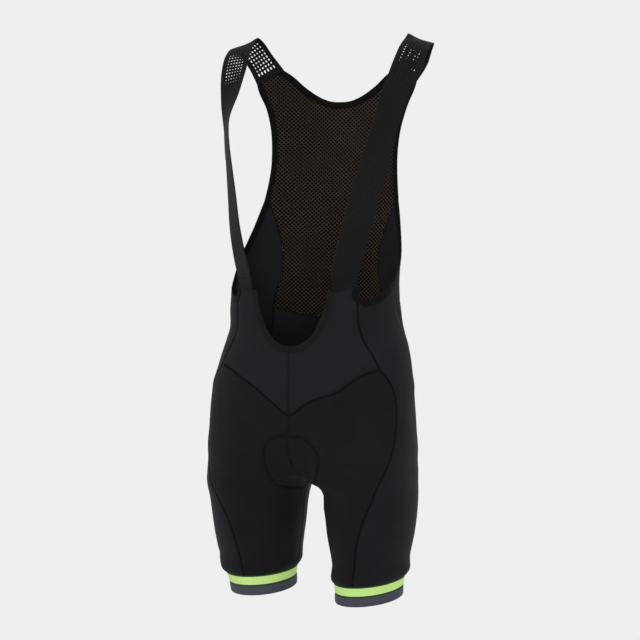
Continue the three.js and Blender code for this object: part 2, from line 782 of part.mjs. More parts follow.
const padHalf = PAD.map((row) => {
  const line = [];
  const mid = bodyPoint(middleAngle(row.z, row.side), row.z);
  const n = bodyNormal(mid);
  for (let j = 0; j <= PAD_LANES; j += 1) {
    const p = walked(mid, n, row.half_width * j / PAD_LANES);
    line.push({ p, n: bodyNormal(p) });
  }
  return line;
});
const padGrid = padHalf.map((line, i) => [...mirrored(padHalf)[i].slice(1).reverse(), ...line]);
const padDepth = (i, j) => {
  const sideways = Math.abs(j - PAD_LANES) / PAD_LANES;
  const ends = Math.min(1, i / 3, (PAD.length - 1 - i) / 3);
  const fullness = Math.min(1, 1.6 * (1 - sideways)) * ends;
  return PAD_LIFT + PAD_EDGE + (PAD_CORE - PAD_EDGE) * fullness;
};
garment.add(wall('seat_pad', padGrid, -PAD_LIFT, padDepth, COLOUR.pad, 0.9));

export default garment;
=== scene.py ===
"""Cycling bib shorts in the form they have when worn, with no wearer."""
import math

import bpy
import numpy as np
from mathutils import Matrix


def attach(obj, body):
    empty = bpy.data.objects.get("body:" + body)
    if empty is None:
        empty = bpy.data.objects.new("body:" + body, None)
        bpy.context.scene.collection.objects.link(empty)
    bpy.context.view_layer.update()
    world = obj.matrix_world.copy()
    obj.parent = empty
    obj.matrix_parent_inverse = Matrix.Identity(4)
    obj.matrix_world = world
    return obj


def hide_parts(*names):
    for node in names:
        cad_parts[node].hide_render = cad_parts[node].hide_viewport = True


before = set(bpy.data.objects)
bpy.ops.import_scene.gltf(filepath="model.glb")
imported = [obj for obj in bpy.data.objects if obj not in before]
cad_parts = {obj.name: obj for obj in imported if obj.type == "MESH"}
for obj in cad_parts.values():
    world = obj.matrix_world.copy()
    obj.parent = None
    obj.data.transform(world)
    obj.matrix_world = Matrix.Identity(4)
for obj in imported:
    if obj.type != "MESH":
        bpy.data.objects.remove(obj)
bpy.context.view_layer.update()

# Two halves of black stretch jersey, cut with the U of the neck and the front
# of the armhole, joined down the middle front by one flat seam. Every cloth
# piece of the shorts lies on one worked-out body surface, given by its levels.

# height, half centre, half width, middle depth, front, back, squareness, blend
LEVELS = np.array([
    [20, 0, 170, -12, 96, 104, 3.0, 4],
    [-40, 0, 168, -12, 96, 106, 3.0, 4],
    [-88, 0, 163, -12, 96, 106, 2.9, 4],
    [-164, 0, 149, -13, 97, 101, 2.5, 4],
    [-249, 0, 141, -14, 98, 88, 2.4, 4],
    [-316, 0, 135, -14, 98, 77, 2.3, 4],
    [-371, 0, 131, -14, 98, 70, 2.3, 4],
    [-405, 0, 133, -14, 99, 67, 2.3, 4],
    [-432, 0, 136.5, -14, 100, 66, 2.3, 4],
    [-454, 0, 144, -15, 100, 69, 2.3, 4],
    [-477, 0, 151.5, -17, 99, 75, 2.3, 6],
    [-500, 0, 156.5, -19, 97, 85, 2.3, 8],
    [-523, 0, 161, -22, 95, 98, 2.3, 12],
    [-555, 3, 160, -25, 92, 116, 2.3, 18],
    [-584, 18, 147, -26, 91, 125, 2.25, 22],
    [-612, 52, 114, -26, 91, 125, 2.2, 18],
    [-638, 74, 92, -25, 90, 118, 2.1, 11],
    [-652, 81.5, 85.5, -24, 89, 112, 2.1, 8],
    [-662, 86.5, 80.5, -23, 88, 107, 2.1, 6],
    [-680, 90.5, 76.5, -20, 86, 98.5, 2.05, 5],
    [-697, 92.5, 73.5, -17, 83, 90, 2.0, 4],
    [-743, 93, 67, -12, 76, 79, 2.0, 3],
    [-780, 92, 61, -8, 68, 70, 2.0, 2],
    [-807, 90, 57, -7, 63, 65, 2.0, 2],
    [-811, 89.5, 54.5, -7, 61, 63, 2.0, 2],
    [-843, 87, 50, -5, 57, 58, 2.0, 2],
])
CENTRE, HALF, MID_Y, FRONT, BACK, SQUARE, BLEND = range(1, 8)

# height, fullness of the right and left, sideways shift of each leg on its
# inner side, right and left, and on its outer side, right and left
FULLNESS = np.array([
    [20, 1.0, 1.0, 0, 0, 0, 0],
    [-43, 0.997, 1.001, 0, 0, 2.5, 0],
    [-100, 0.995, 1.002, 0, 0, 1, -4.5],
    [-134, 0.993, 1.002, 0, 0, 0, -5.5],
    [-163, 0.992, 1.003, 0, 0, 0, -4],
    [-194, 0.991, 1.003, 0, 0, 1.2, -1.5],
    [-236, 0.989, 1.004, 0, 0, 1.5, 0],
    [-330, 0.985, 1.005, 0, 0, 0, 0],
    [-371, 0.973, 1.01, 0, 0, 0, 0],
    [-409, 0.97, 1.02, 0, 0, 0, 0],
    [-440, 0.945, 1.03, 0, 0, 0, 0],
    [-477, 0.955, 1.01, 0, 0, 0, 0],
    [-510, 0.98, 0.99, 0, 0, 0, 0],
    [-600, 0.995, 0.975, 0, 0, 0, 0],
    [-662, 1.0, 0.975, 0, 0, 0, 0],
    [-667, 1.005, 0.972, 0, 7, 0, 0.2],
    [-673, 1.01, 0.97, 0, 12, 0, 0.5],
    [-680, 1.015, 0.968, 0, 12.5, 0, 0.8],
    [-690, 1.02, 0.965, 0, 8.5, 0, 1],
    [-705, 1.03, 0.96, 0, 4, 0, 1.5],
    [-740, 1.05, 0.96, -1, 4, -1, 2],
    [-780, 1.06, 0.95, -3, 4, -3, 1.5],
    [-811, 1.03, 0.99, -4.5, 3, -4.5, 2],
    [-843, 1.0, 1.0, -4.5, 3, -4.5, 3],
])
LEG_TURN, HEM_DROP_FRONT, HEM_RISE_LEFT, HEM_RISE_RIGHT, LEG_SPIN_RIGHT = 5.5, 4.0, 4.5, 3.5, 5.0
# x, height, reach over x, reach over height, pull across, pull up
PULLS = [[44, -628, 22, 30, 7.5, 0], [-44, -628, 22, 30, 5.5, 0], [76, -515, 38, 27, 0, -12]]


def track(rows, column, z):
    """Value of one column at a height: a Hermite curve through the rows, whose
    slope at a row is the weighted mean of its neighbours, flat where it turns."""
    knots, values = rows[:, 0], rows[:, column]
    run = np.diff(knots)
    rise = np.diff(values) / run
    inner = (rise[:-1] * run[1:] + rise[1:] * run[:-1]) / (run[1:] + run[:-1])
    inner = np.where(rise[:-1] * rise[1:] <= 0, 0, inner)
    slope = np.concatenate([rise[:1], inner, rise[-1:]])
    h = np.clip(z, knots[-1], knots[0])
    i = np.clip(np.searchsorted(-knots, -h, side="right") - 1, 0, len(run) - 1)
    s = (h - knots[i]) / run[i]
    v = 1 - s
    ends = (1 + 2 * s) * v * v * values[i] + s * s * (3 - 2 * s) * values[i + 1]
    return ends + run[i] * (s * v * v * slope[i] - s * s * v * slope[i + 1])


def step(x, a, b):
    """Smooth step of x from 0 at a to 1 at b."""
    s = np.clip((x - a) / (b - a), 0, 1)
    return s * s * (3 - 2 * s)


def body_point(angle, z):
    """Point of the left half: a rounded oval of the level, |cos|^k + |sin|^k = 1
    scaled by half width and depth, whose side distance blends out of the middle."""
    angle, z = np.broadcast_arrays(np.asarray(angle, float), np.asarray(z, float))
    k, c, n = track(LEVELS, SQUARE, z), np.cos(np.radians(angle)), np.sin(np.radians(angle))
    r = (np.abs(c) ** k + np.abs(n) ** k) ** (-1 / k)
    reach = track(LEVELS, CENTRE, z) + track(LEVELS, HALF, z) * c * r
    depth = np.where(n < 0, track(LEVELS, FRONT, z), track(LEVELS, BACK, z))
    x2 = np.where(reach < 0, 0, reach ** 2 - track(LEVELS, BLEND, z) ** 2)
    y = track(LEVELS, MID_Y, z) + depth * n * r
    return np.stack([np.sqrt(np.maximum(x2, 0)), y, z], -1)


def body_field(p):
    """The same oval as a field: below 0 inside the body, above 0 outside."""
    x, y, z = p[..., 0], p[..., 1], p[..., 2]
    k = track(LEVELS, SQUARE, z)
    reach = np.sqrt(x * x + track(LEVELS, BLEND, z) ** 2)
    mid = track(LEVELS, MID_Y, z)
    depth = np.where(y < mid, track(LEVELS, FRONT, z), track(LEVELS, BACK, z))
    across = (np.abs(reach - track(LEVELS, CENTRE, z)) / track(LEVELS, HALF, z)) ** k
    return across + (np.abs(y - mid) / depth) ** k - 1


def unit(v):
    """Vectors scaled to length 1."""
    return v / np.maximum(np.linalg.norm(v, axis=-1, keepdims=True), 1e-9)


def body_normal(p):
    """Outward direction: the slope of the field, by central differences."""
    e = 0.05 * np.eye(3)
    return unit(np.stack([body_field(p + d) - body_field(p - d) for d in e], -1))


def middle_angle(z, side):
    """Angle at which a level meets the middle plane; 180 inside the leg."""
    z = np.asarray(z, float)
    v = (track(LEVELS, BLEND, z) - track(LEVELS, CENTRE, z)) / track(LEVELS, HALF, z)
    k = track(LEVELS, SQUARE, z)
    size = np.clip(np.abs(v), 1e-6, 1)
    q = np.degrees(np.arctan(np.maximum(size ** -k - 1, 0) ** (1 / k)))
    return side * np.where(v <= -1, 180, np.where(v < 0, 180 - q, q))


def posed(p):
    """Takes the even garment to the worn one, in metres: fullness, shift, the
    tilt of each hem, and the turn of each leg."""
    x, y, z = p[..., 0], p[..., 1], p[..., 2]
    right = x < 0
    sign = np.where(right, -1, 1)
    axis = track(LEVELS, CENTRE, z)
    hold = sign * axis * step(-z, 655, 700)
    full = np.where(right, track(FULLNESS, 1, z), track(FULLNESS, 2, z))
    wide = step(np.abs(x), 60, 150)
    inner = np.where(right, track(FULLNESS, 3, z), track(FULLNESS, 4, z))
    outer = np.where(right, track(FULLNESS, 5, z), track(FULLNESS, 6, z))
    x = hold + (x - hold) * full + inner * (1 - wide) + outer * wide
    low = step(-z, 690, 795)
    drop = math.tan(math.radians(HEM_DROP_FRONT)) * (y - track(LEVELS, MID_Y, z))
    roll = np.tan(np.radians(np.where(right, HEM_RISE_RIGHT, HEM_RISE_LEFT))) * (x - sign * axis)
    turn = math.radians(LEG_TURN) * step(-z, 560, 800)
    px = x * np.cos(turn) + y * np.sin(turn)
    py = y * np.cos(turn) - x * np.sin(turn)
    spin = math.radians(LEG_SPIN_RIGHT) * step(-z, 662, 740) * right
    off_x, off_y = px + axis, py - track(LEVELS, MID_Y, z)
    px = np.where(right, off_x * np.cos(spin) - off_y * np.sin(spin) - axis, px)
    py = np.where(right, off_x * np.sin(spin) + off_y * np.cos(spin) + track(LEVELS, MID_Y, z), py)
    pz = z + low * (drop + roll)
    for at_x, at_z, reach_x, reach_z, across, up in PULLS:
        near = np.exp(-(((p[..., 0] - at_x) / reach_x) ** 2) - ((z - at_z) / reach_z) ** 2)
        px, pz = px + across * near, pz + up * near
    return np.stack([px, py, pz], -1) / 1000


def curve(points, at):
    """Centripetal Catmull-Rom curve through the points, at the given places,
    which count 1 for each point."""
    p = np.asarray(points, float)
    p = np.vstack([2 * p[0] - p[1], p, 2 * p[-1] - p[-2]])
    gap = np.linalg.norm(np.diff(p, axis=0), axis=1, keepdims=True) ** 0.5
    i = np.clip(np.floor(at).astype(int), 0, len(p) - 4)
    u = (at - i)[:, None]
    a, b, c = gap[i], gap[i + 1], gap[i + 2]
    x0, x1, x2, x3 = p[i], p[i + 1], p[i + 2], p[i + 3]
    t1 = ((x1 - x0) / a - (x2 - x0) / (a + b) + (x2 - x1) / b) * b
    t2 = ((x2 - x1) / b - (x3 - x1) / (b + c) + (x3 - x2) / c) * b
    cubic = (2 * x1 - 2 * x2 + t1 + t2) * u ** 3
    return x1 + t1 * u + (3 * x2 - 3 * x1 - 2 * t1 - t2) * u ** 2 + cubic


def even_places(points, count):
    """Places on the curve that are count equal steps of length apart."""
    at = np.linspace(0, len(points) - 1, 60 * (len(points) - 1) + 1)
    length = np.linalg.norm(np.diff(curve(points, at), axis=0), axis=1).cumsum()
    length = np.concatenate([[0], length])
    return np.interp(np.linspace(0, length[-1], count + 1), length, at)


MM_PER_DEGREE = 2.4


def seam(rows, count):
    """Even run along a seam line, as angle and height."""
    flat = np.array(rows, float) * [MM_PER_DEGREE, 1]
    run = curve(flat, even_places(flat, count)) / [MM_PER_DEGREE, 1]
    run[0], run[-1] = rows[0], rows[-1]
    return run


def joined(*runs):
    """Runs set end to end, each without its first point, which the last one has."""
    return np.vstack([runs[0]] + [run[1:] for run in runs[1:]])


def heights_between(rows, count):
    """A list of heights with count steps, as even as the list."""
    return np.interp(np.linspace(0, len(rows) - 1, count + 1), range(len(rows)), rows)


def middle_run(heights, side):
    """Angles and heights of a run down the middle line."""
    return np.stack([middle_angle(heights, side), heights], -1)


def fill(top, bottom, left, right, base, pull=1.0):
    """Angles and heights between four runs: the top carried to the bottom, plus
    each side's bend, which fades over the width as its distance to the pull."""
    start = lambda run: np.stack([run[:, 0] - base(run[:, 1]), run[:, 1]], -1)
    t, b, l, r = start(top), start(bottom), start(left), start(right)
    f = np.linspace(0, 1, len(l))[:, None]
    u = np.linspace(0, 1, len(t))[None, :, None]
    mix = (1 - f[:, None]) * t + f[:, None] * b
    mix = mix + (1 - u) ** pull * (l - (1 - f) * t[0] - f * b[0])[:, None]
    mix = mix + u ** pull * (r - (1 - f) * t[-1] - f * b[-1])[:, None]
    return np.stack([mix[..., 0] + base(mix[..., 1]), mix[..., 1]], -1)


# Creases of the worn cloth. side is 1 for the wearer's left, -1 for the right.
# Each runs from one angle and height to another, with a sideways bow, a width
# and a depth in mm. A negative depth is a ridge.
CREASES = np.array([
    # side, angle, z, angle, z, bow, width, depth
    [1, -92, -622, -70, -600, 3, 5, 1.5],
    [1, -96, -640, -60, -634, -4, 6, 1.7],
    [1, -150, -664, -72, -662, 5, 7, 1.6],
    [1, -140, -684, -95, -704, 4, 8, 1.2],
    [-1, -92, -630, -66, -612, 4, 5, 1.4],
    [-1, -98, -648, -58, -652, -5, 7, 1.8],
    [-1, -150, -668, -80, -678, -5, 7, 1.4],
    [-1, -135, -690, -90, -716, -4, 9, 1.0],
    [1, -101, -600, -112, -619, 0, 3.5, 1.3],
    [1, -110, -614, -129, -637, 0, 3.2, 2.6],
    [1, -129, -636, -120, -644, 0, 3, 3.0],
    [1, -101, -609, -118, -640, 1.5, 3.4, 2.6],
    [1, -103, -604, -116, -628, 0, 5, -1.2],
    [-1, -104, -612, -122, -637, 2, 4, 1.3],
    [-1, -112, -616, -130, -642, 2, 6, -1.0],
    [-1, -132, -636, -160, -660, 2, 4, 2.0],
    [1, -60, -430, -30, -455, 4, 9, 0.9],
    [-1, -62, -424, -34, -448, -4, 8, 0.9],
    [1, -8, -392, 20, -452, 7, 8, 1.3],
    [1, 10, -372, 34, -430, 6, 7, 1.1],
    [1, 28, -352, 46, -402, -4, 6, 1.0],
    [-1, -12, -398, 22, -446, -6, 8, 1.2],
    [-1, 14, -366, 36, -424, 5, 7, 1.2],
    [-1, 30, -344, 45, -388, 4, 6, 0.9],
    [1, -10, -560, 12, -640, -8, 13, -0.8],
    [-1, -14, -548, 10, -628, 9, 14, -0.8],
    [1, -45, -770, -5, -786, 4, 7, 0.9],
    [1, -120, -776, -80, -790, -3, 6, 0.9],
    [1, 70, -772, 120, -790, 4, 7, 0.9],
    [-1, -52, -778, -14, -790, -3, 6, 0.9],
    [-1, -130, -770, -88, -786, 4, 7, 0.8],
    [-1, 66, -780, 112, -770, -4, 7, 0.9],
    [1, 92, -470, 58, -452, 4, 9, 1.1],
    [1, 91, -498, 64, -486, -4, 10, 0.9],
    [-1, 91, -462, 60, -446, -5, 9, 1.1],
    [-1, 92, -506, 70, -490, 4, 10, 0.8],
    [1, 150, -672, 62, -678, -9, 8, 1.9],
    [-1, 150, -670, 66, -684, 8, 8, 1.8],
    [1, 128, -694, 80, -712, 4, 9, 1.1],
    [-1, 132, -700, 76, -708, -5, 9, 1.2],
    [1, 94, -640, 74, -612, 5, 7, 1.1],
    [-1, 94, -646, 72, -622, -5, 7, 1.0],
])


def relief(angle, z, side):
    """Height of the worn cloth over the even surface, in mm. A crease is a bell
    across its line with two low shoulders, and fades in and out at its ends."""
    scale = np.maximum(track(LEVELS, HALF, z), 50) * math.pi / 180
    total = 0.45 * np.sin(z / 31 + 1.3 * side) * np.sin(np.radians(angle) * 2.3 + 0.9 * side)
    for s, a0, z0, a1, z1, bow, width, depth in CREASES:
        if s != side:
            continue
        turn = (angle - (a0 + a1) / 2 + 180) % 360 - 180 + (a0 + a1) / 2
        du, dv = (turn - a0) * scale, z - z0
        lu, lv = (a1 - a0) * scale, z1 - z0
        length = np.hypot(lu, lv)
        t = (du * lu + dv * lv) / length ** 2
        off = (du * lv - dv * lu) / length - bow * 4 * t * (1 - t)
        q = (off / width) ** 2
        ends = step(t, -0.05, 0.35) * (1 - step(t, 0.6, 1.1))
        total = total - depth * ends * (np.exp(-q) - 0.38 * np.exp(-q / 4.5))
    return total


def edge_distance(points):
    """Distance in mm of each grid point from the top, bottom, left and right."""
    down = np.linalg.norm(np.diff(points, axis=0), axis=-1)
    over = np.linalg.norm(np.diff(points, axis=1), axis=-1)
    v = np.vstack([np.zeros((1, down.shape[1])), down.cumsum(0)])
    u = np.hstack([np.zeros((over.shape[0], 1)), over.cumsum(1)])
    return v, v[-1] - v, u, u[:, -1:] - u, u, v


def grid_faces(rows, cols, wrap=False):
    """Quads of a grid, each down, across and up again."""
    i, j = np.mgrid[0:rows, 0:cols]
    width = cols if wrap else cols + 1
    k = (j + 1) % width
    near, far = i * width, (i + 1) * width
    return np.stack([near + j, far + j, far + k, near + k], -1).reshape(-1, 4)


def cloth_mesh(name, outer, inner, faces, uv=None, body="root"):
    """A closed piece of cloth: the outer skin, the inner one turned round, and a
    wall along each edge that only one face has. Points are in metres."""
    outer, inner = outer.reshape(-1, 3), inner.reshape(-1, 3)
    count = len(outer)
    edges = np.concatenate([faces[:, [k, (k + 1) % 4]] for k in range(4)])
    key = np.sort(edges, 1)
    _, first, times = np.unique(key[:, 0] * count + key[:, 1], return_index=True, return_counts=True)
    free = edges[first[times == 1]]
    walls = np.stack([free[:, 1], free[:, 0], free[:, 0] + count, free[:, 1] + count], -1)
    quads = np.concatenate([faces, faces[:, ::-1] + count, walls])
    return mesh_piece(name, np.concatenate([outer, inner]), quads, uv, body)


def mesh_piece(name, points, quads, uv=None, body="root"):
    """A smooth mesh object at the origin that rides on the garment."""
    mesh = bpy.data.meshes.new(name)
    mesh.from_pydata(points, [], quads.tolist())
    mesh.polygons.foreach_set("use_smooth", np.ones(len(mesh.polygons), bool))
    if uv is not None:
        flat = np.asarray(uv, float).reshape(-1, 2)
        flat = np.concatenate([flat] * (len(points) // len(flat)))
        corner = np.zeros(len(mesh.loops), np.int64)
        mesh.loops.foreach_get("vertex_index", corner)
        mesh.uv_layers.new(name="cloth").data.foreach_set("uv", flat[corner].ravel())
    mesh.set_sharp_from_angle(angle=math.radians(48))
    piece = bpy.data.objects.new(name, mesh)
    bpy.context.scene.collection.objects.link(piece)
    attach(piece, body)
    return piece


class Socket:
    """A shader value. Sums, differences and products of sockets add Math nodes."""

    def __init__(self, tree, out=None):
        self.tree, self.out = tree, out

    def node(self, kind, settings, inputs, out=0):
        """Adds a node: its settings first, then its sockets' values or links."""
        made = self.tree.nodes.new(kind)
        for key, value in settings.items():
            setattr(made, key, value)
        for key, value in inputs.items():
            if isinstance(value, Socket):
                self.tree.links.new(value.out, made.inputs[key])
            else:
                made.inputs[key].default_value = value
        return Socket(self.tree, made.outputs[out] if len(made.outputs) else None)

    def output(self, index):
        """Another output of the node that this socket belongs to."""
        return Socket(self.tree, self.out.node.outputs[index])

    def maths(self, operation, a, b=0.0, clamp=False):
        return self.node("ShaderNodeMath", {"operation": operation, "use_clamp": clamp}, {0: a, 1: b})

    def __add__(self, other):
        return self.maths("ADD", self, other)

    def __sub__(self, other):
        return self.maths("SUBTRACT", self, other)

    def __rsub__(self, other):
        return self.maths("SUBTRACT", other, self)

    def __mul__(self, other):
        return self.maths("MULTIPLY", self, other)

    __radd__, __rmul__ = __add__, __mul__

    def wave(self, period):
        """A wave of height 0 to 1 along this value, in the value's units."""
        return self.maths("SINE", self * (2 * math.pi / period)) * 0.5 + 0.5


def linear(hexcode):
    """Display colour to linear light."""
    v = [int(hexcode[i:i + 2], 16) / 255 for i in (1, 3, 5)]
    return [x / 12.92 if x <= 0.04045 else ((x + 0.055) / 1.055) ** 2.4 for x in v] + [1]


def mixed(s, share, a, b):
    """Colour between a and b."""
    return s.node("ShaderNodeMix", {"data_type": "RGBA"}, {0: share, 6: a, 7: b}, out=2)


def new_material(name):
    """An empty node material and a socket to build it with."""
    material = bpy.data.materials.new(name)
    material.use_nodes = True
    tree = material.node_tree
    tree.nodes.clear()
    return material, Socket(tree)


def finish_material(s, material, inputs):
    """Links the inputs to one Principled shader and that to the output."""
    shader = s.node("ShaderNodeBsdfPrincipled", {}, inputs)
    s.node("ShaderNodeOutputMaterial", {}, {"Surface": shader})
    return material


def jersey(name, deep, pale):
    """Black stretch jersey: columns of fine loops 0.9 mm wide and 0.7 mm high,
    slightly paler where the loops rise, with a soft uneven bloom, and darkened
    by painted shade along seams, along the pad's outline and in deep creases."""
    material, s = new_material(name)
    uv = s.node("ShaderNodeUVMap", {"uv_map": "cloth"}, {})
    parts = s.node("ShaderNodeSeparateXYZ", {}, {0: uv})
    across, along = parts, parts.output(1)
    wale = across.wave(0.9)
    course = (along + wale * 0.25).wave(0.7)
    loops = wale * course
    place = s.node("ShaderNodeTexCoord", {}, {}, out=3)
    bloom = s.node("ShaderNodeTexNoise", {}, {
        "Vector": place, "Scale": 22.0, "Detail": 3.0, "Roughness": 0.5})
    fuzz = s.node("ShaderNodeTexNoise", {}, {"Vector": place, "Scale": 900.0, "Detail": 2.0})
    tone = bloom * 0.5 + loops * 0.35 + fuzz * 0.25
    # Painted shade: a vertex attribute set by panel() mixes the colour towards near black along seams, the
    # pad's outline and deep creases.
    seam = s.node("ShaderNodeAttribute", {"attribute_name": "painted_shade"}, {}, out=2)
    colour = mixed(s, tone.maths("MULTIPLY", tone, 1.0, clamp=True), linear(deep), linear(pale))
    colour = mixed(s, seam * 0.65, colour, linear("#020202"))
    bump = s.node("ShaderNodeBump", {}, {"Strength": 0.35, "Distance": 0.00025, "Height": loops + fuzz * 0.4})
    return finish_material(s, material, {
        "Base Color": colour, "Roughness": fuzz * 0.12 + 0.6, "Normal": bump,
        "Specular IOR Level": 0.06, "Sheen Weight": 0.015, "Sheen Roughness": 0.45,
        "Sheen Tint": (0.75, 0.75, 0.9, 1)})


CLOTH = 0.9  # thickness of the stretch cloth, mm
SEAM_DIP, SEAM_REACH = 1.1, 1.9  # a seam pulls the cloth in this deep, this far

U_NECK = [[-89, -463], [-84, -461], [-78, -453], [-72.3, -440], [-67.5, -420], [-64, -402], [-61.2, -374]]
STRAP_BASE = [[-61.2, -374], [-46, -365]]
ARMHOLE_FRONT = [[-46, -365], [-48.5, -378], [-45.5, -390]]
SIDE_FRONT_UPPER = [[-45.5, -390], [-46, -415], [-44.5, -445], [-40, -468], [-36.5, -487]]
V_SEAM = [[-85, -557], [-80, -541], [-70, -519], [-60, -505.5], [-50, -494.5], [-36.5, -487]]
BIB_HEIGHTS = [-463, -475, -487, -499, -511, -523, -535, -546, -557]


def snapped(run, index, side):
    """Puts the end of a seam on the middle line."""
    run[index, 0] = middle_angle(run[index, 1], side)
    return run


def panel(name, grid, dips, material, puff=None):
    """Both sides' panels from a grid of angles and heights. dips says how deep
    the top, bottom, left and right edges are pulled in by their seams, and how
    dark the painted shade along them is."""
    for side, word in ((1, "left"), (-1, "right")):
        p = body_point(grid[..., 0], grid[..., 1])
        n = body_normal(p)
        *edges, u, v = edge_distance(p)
        lift = relief(grid[..., 0], grid[..., 1], side)
        # Painted shade: the colour is darkened in deep creases, along each seam's pulled-in groove and,
        # through puff, along the pad's outline; it is kept as a vertex attribute for the jersey.
        shade = np.clip((-lift - 0.9) / 4, 0, 0.6)
        for distance, dip, along in zip(edges, dips, (u, u, v, v)):
            near = np.exp(-(distance / SEAM_REACH) ** 2)
            pucker = np.sin(along / 1.35 + 2 * np.sin(along / 9.0) + side) * np.exp(-distance / 5.0)
            hold = 1 - dip / SEAM_DIP * np.exp(-(distance / 7.0) ** 2)
            lift = lift * hold - dip * near + 0.1 * dip * pucker
            shade = np.maximum(shade, dip / SEAM_DIP * near)
        if puff is not None:
            swell, ring = puff(grid, p, side)
            lift, shade = lift + swell, np.maximum(shade, ring)
        p, n = p * [side, 1, 1], n * [side, 1, 1]
        outer = posed(p + n * lift[..., None])
        inner = posed(p + n * (lift[..., None] - CLOTH))
        faces = grid_faces(grid.shape[0] - 1, grid.shape[1] - 1)
        i, j = grid.shape[0] // 2, grid.shape[1] // 2
        out = np.cross(p[i + 1, j] - p[i, j], p[i, j + 1] - p[i, j]) @ n[i, j]
        if out < 0:
            faces = faces[:, ::-1]
        piece = cloth_mesh(name + "_" + word + "_cloth", outer, inner, faces, np.stack([u, v], -1))
        tone = piece.data.attributes.new("painted_shade", "FLOAT", "POINT")
        tone.data.foreach_set("value", np.tile(shade.ravel(), 2))
        piece.data.materials.append(material)
        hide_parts(name + "_" + word)
        yield piece, word


front_base = lambda z: middle_angle(z, -1)
v_seam = snapped(seam(V_SEAM, 66), 0, -1)
bib_top = joined(snapped(seam(U_NECK, 42), 0, -1), seam(STRAP_BASE, 24))
bib_side = joined(seam(ARMHOLE_FRONT, 14), seam(SIDE_FRONT_UPPER, 42))
bib_grid = fill(bib_top, v_seam, middle_run(heights_between(BIB_HEIGHTS, 56), -1), bib_side, front_base, 3)
bib_jersey = jersey("bib_jersey", "#0b0a0c", "#222026")
for piece, word in panel("front_bib", bib_grid, (0.6, 1.1, 0.7, 1.1), bib_jersey):
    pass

# One panel a leg, of the same jersey, from the V seam down to the hem band.
# The two meet in the middle and inside the leg. The seat pad is sewn on from
# inside, so its round outline shows as a pulled-in line with the pad behind.
CROTCH, HEM_TOP = -662, -811
SIDE_FRONT_LOWER = [
    [-36.5, -487], [-31, -500], [-27.5, -513], [-24, -532], [-22.6, -555], [-24, -580], [-29, -608],
    [-36, -631], [-50, -661], [-62, -687], [-74, -720], [-82, -755], [-86, -785], [-89, -811]]
FRONT_HEIGHTS = [-557, -574, -590, -605, -619, -631, -641, -650, -656.5, -660.5, CROTCH]
INSIDE_HEIGHTS = [CROTCH, -675, -692, -716, -745, -778, HEM_TOP]

# side of the lowest point, height, half width
PAD = [
    [-1, -589, 20], [-1, -597, 33], [-1, -608, 41], [-1, -622, 44], [-1, -636, 42], [-1, -648, 37],
    [-1, -656, 28], [-1, -660.5, 22], [1, -662, 21], [1, -660.5, 24], [1, -656, 32], [1, -647, 42],
    [1, -634, 50], [1, -618, 56], [1, -600, 58], [1, -582, 54], [1, -569, 44], [1, -562, 30]]


def slid(p, move):
    """Points moved over the body surface: a straight move, then three steps
    back to where the field is zero."""
    q = p + move
    for _ in range(3):
        g = body_normal(q)
        rise = (body_field(q + 0.05 * g) - body_field(q)) / 0.05
        q = q - g * (body_field(q) / rise)[..., None]
    return q


def pad_surface(rows, lanes):
    """Half of the pad on the body surface: rows along the middle line, each
    walked sideways over the surface for its half width."""
    at = np.linspace(0, len(PAD) - 1, rows + 1)
    table = curve(PAD, at)
    middle = body_point(middle_angle(table[:, 1], np.where(at < 7.7, -1, 1)), table[:, 1])
    n = body_normal(middle)
    half = [middle]
    steps = 4
    for _ in range(lanes * steps):
        g = body_normal(half[-1])
        over = np.stack([(g * n).sum(-1), np.zeros(len(g)), np.zeros(len(g))], -1) - n * g[:, :1]
        half.append(slid(half[-1], unit(over) * (table[:, 2] / (lanes * steps))[:, None]))
    return np.stack(half[::steps], 1), table


pad_half, pad_table = pad_surface(68, 12)
pad_edge = np.vstack([pad_half[0, :-1], pad_half[:, -1], pad_half[-1, -2::-1]])


def nearest(points, line):
    """Distance from each point to the closest of a line's points and pieces."""
    flat = points.reshape(-1, 3)
    best = np.full(len(flat), 1e9)
    for a, b in zip(line[:-1], line[1:]):
        ab = b - a
        t = np.clip((flat - a) @ ab / max(ab @ ab, 1e-9), 0, 1)[:, None]
        best = np.minimum(best, np.linalg.norm(flat - a - t * ab, axis=1))
    return best.reshape(points.shape[:-1])


def over_pad(grid, p, side):
    """The pad pushes the cloth out a little inside its stitched outline, and paints shade into the cloth's
    colour along the outline's groove.
    """
    d = nearest(p, pad_edge)
    reach = np.interp(grid[..., 1], pad_table[:34, 1][::-1], pad_table[:34, 2][::-1])
    inside = (np.abs(p[..., 0]) < reach) & (grid[..., 1] > CROTCH - 0.1) & (grid[..., 1] < -589)
    swell = np.where(inside, 1 - np.exp(-(d / 6) ** 2), 0)
    groove = np.where(grid[..., 1] > -700, np.exp(-(d / 1.5) ** 2), 0)
    # The second value is painted shade along the pad's outline groove, not a thread colour.
    thread = np.where(grid[..., 1] > -700, np.exp(-(d / 2.1) ** 2), 0)
    return 1.5 * swell - 1.2 * groove + hem_puff(grid, p, side)[0], thread


def hem_puff(grid, p, side):
    """The cloth puffs out in uneven small swells where the band grips it."""
    drop = grid[..., 1] - HEM_TOP
    a = grid[..., 0] * 0.0175
    swell = 1.3 + 0.5 * np.sin(5 * a + side) + 0.4 * np.sin(11 * a + 2 * side)
    return swell * np.exp(-((drop - 7) / 6.5) ** 2) - 0.25 * np.exp(-(drop / 2.5) ** 2), np.zeros(drop.shape)


def hem_run(start, end, count):
    """An even run round the hem from one angle to another."""
    return np.stack([np.linspace(start, end, count + 1), np.full(count + 1, float(HEM_TOP))], -1)


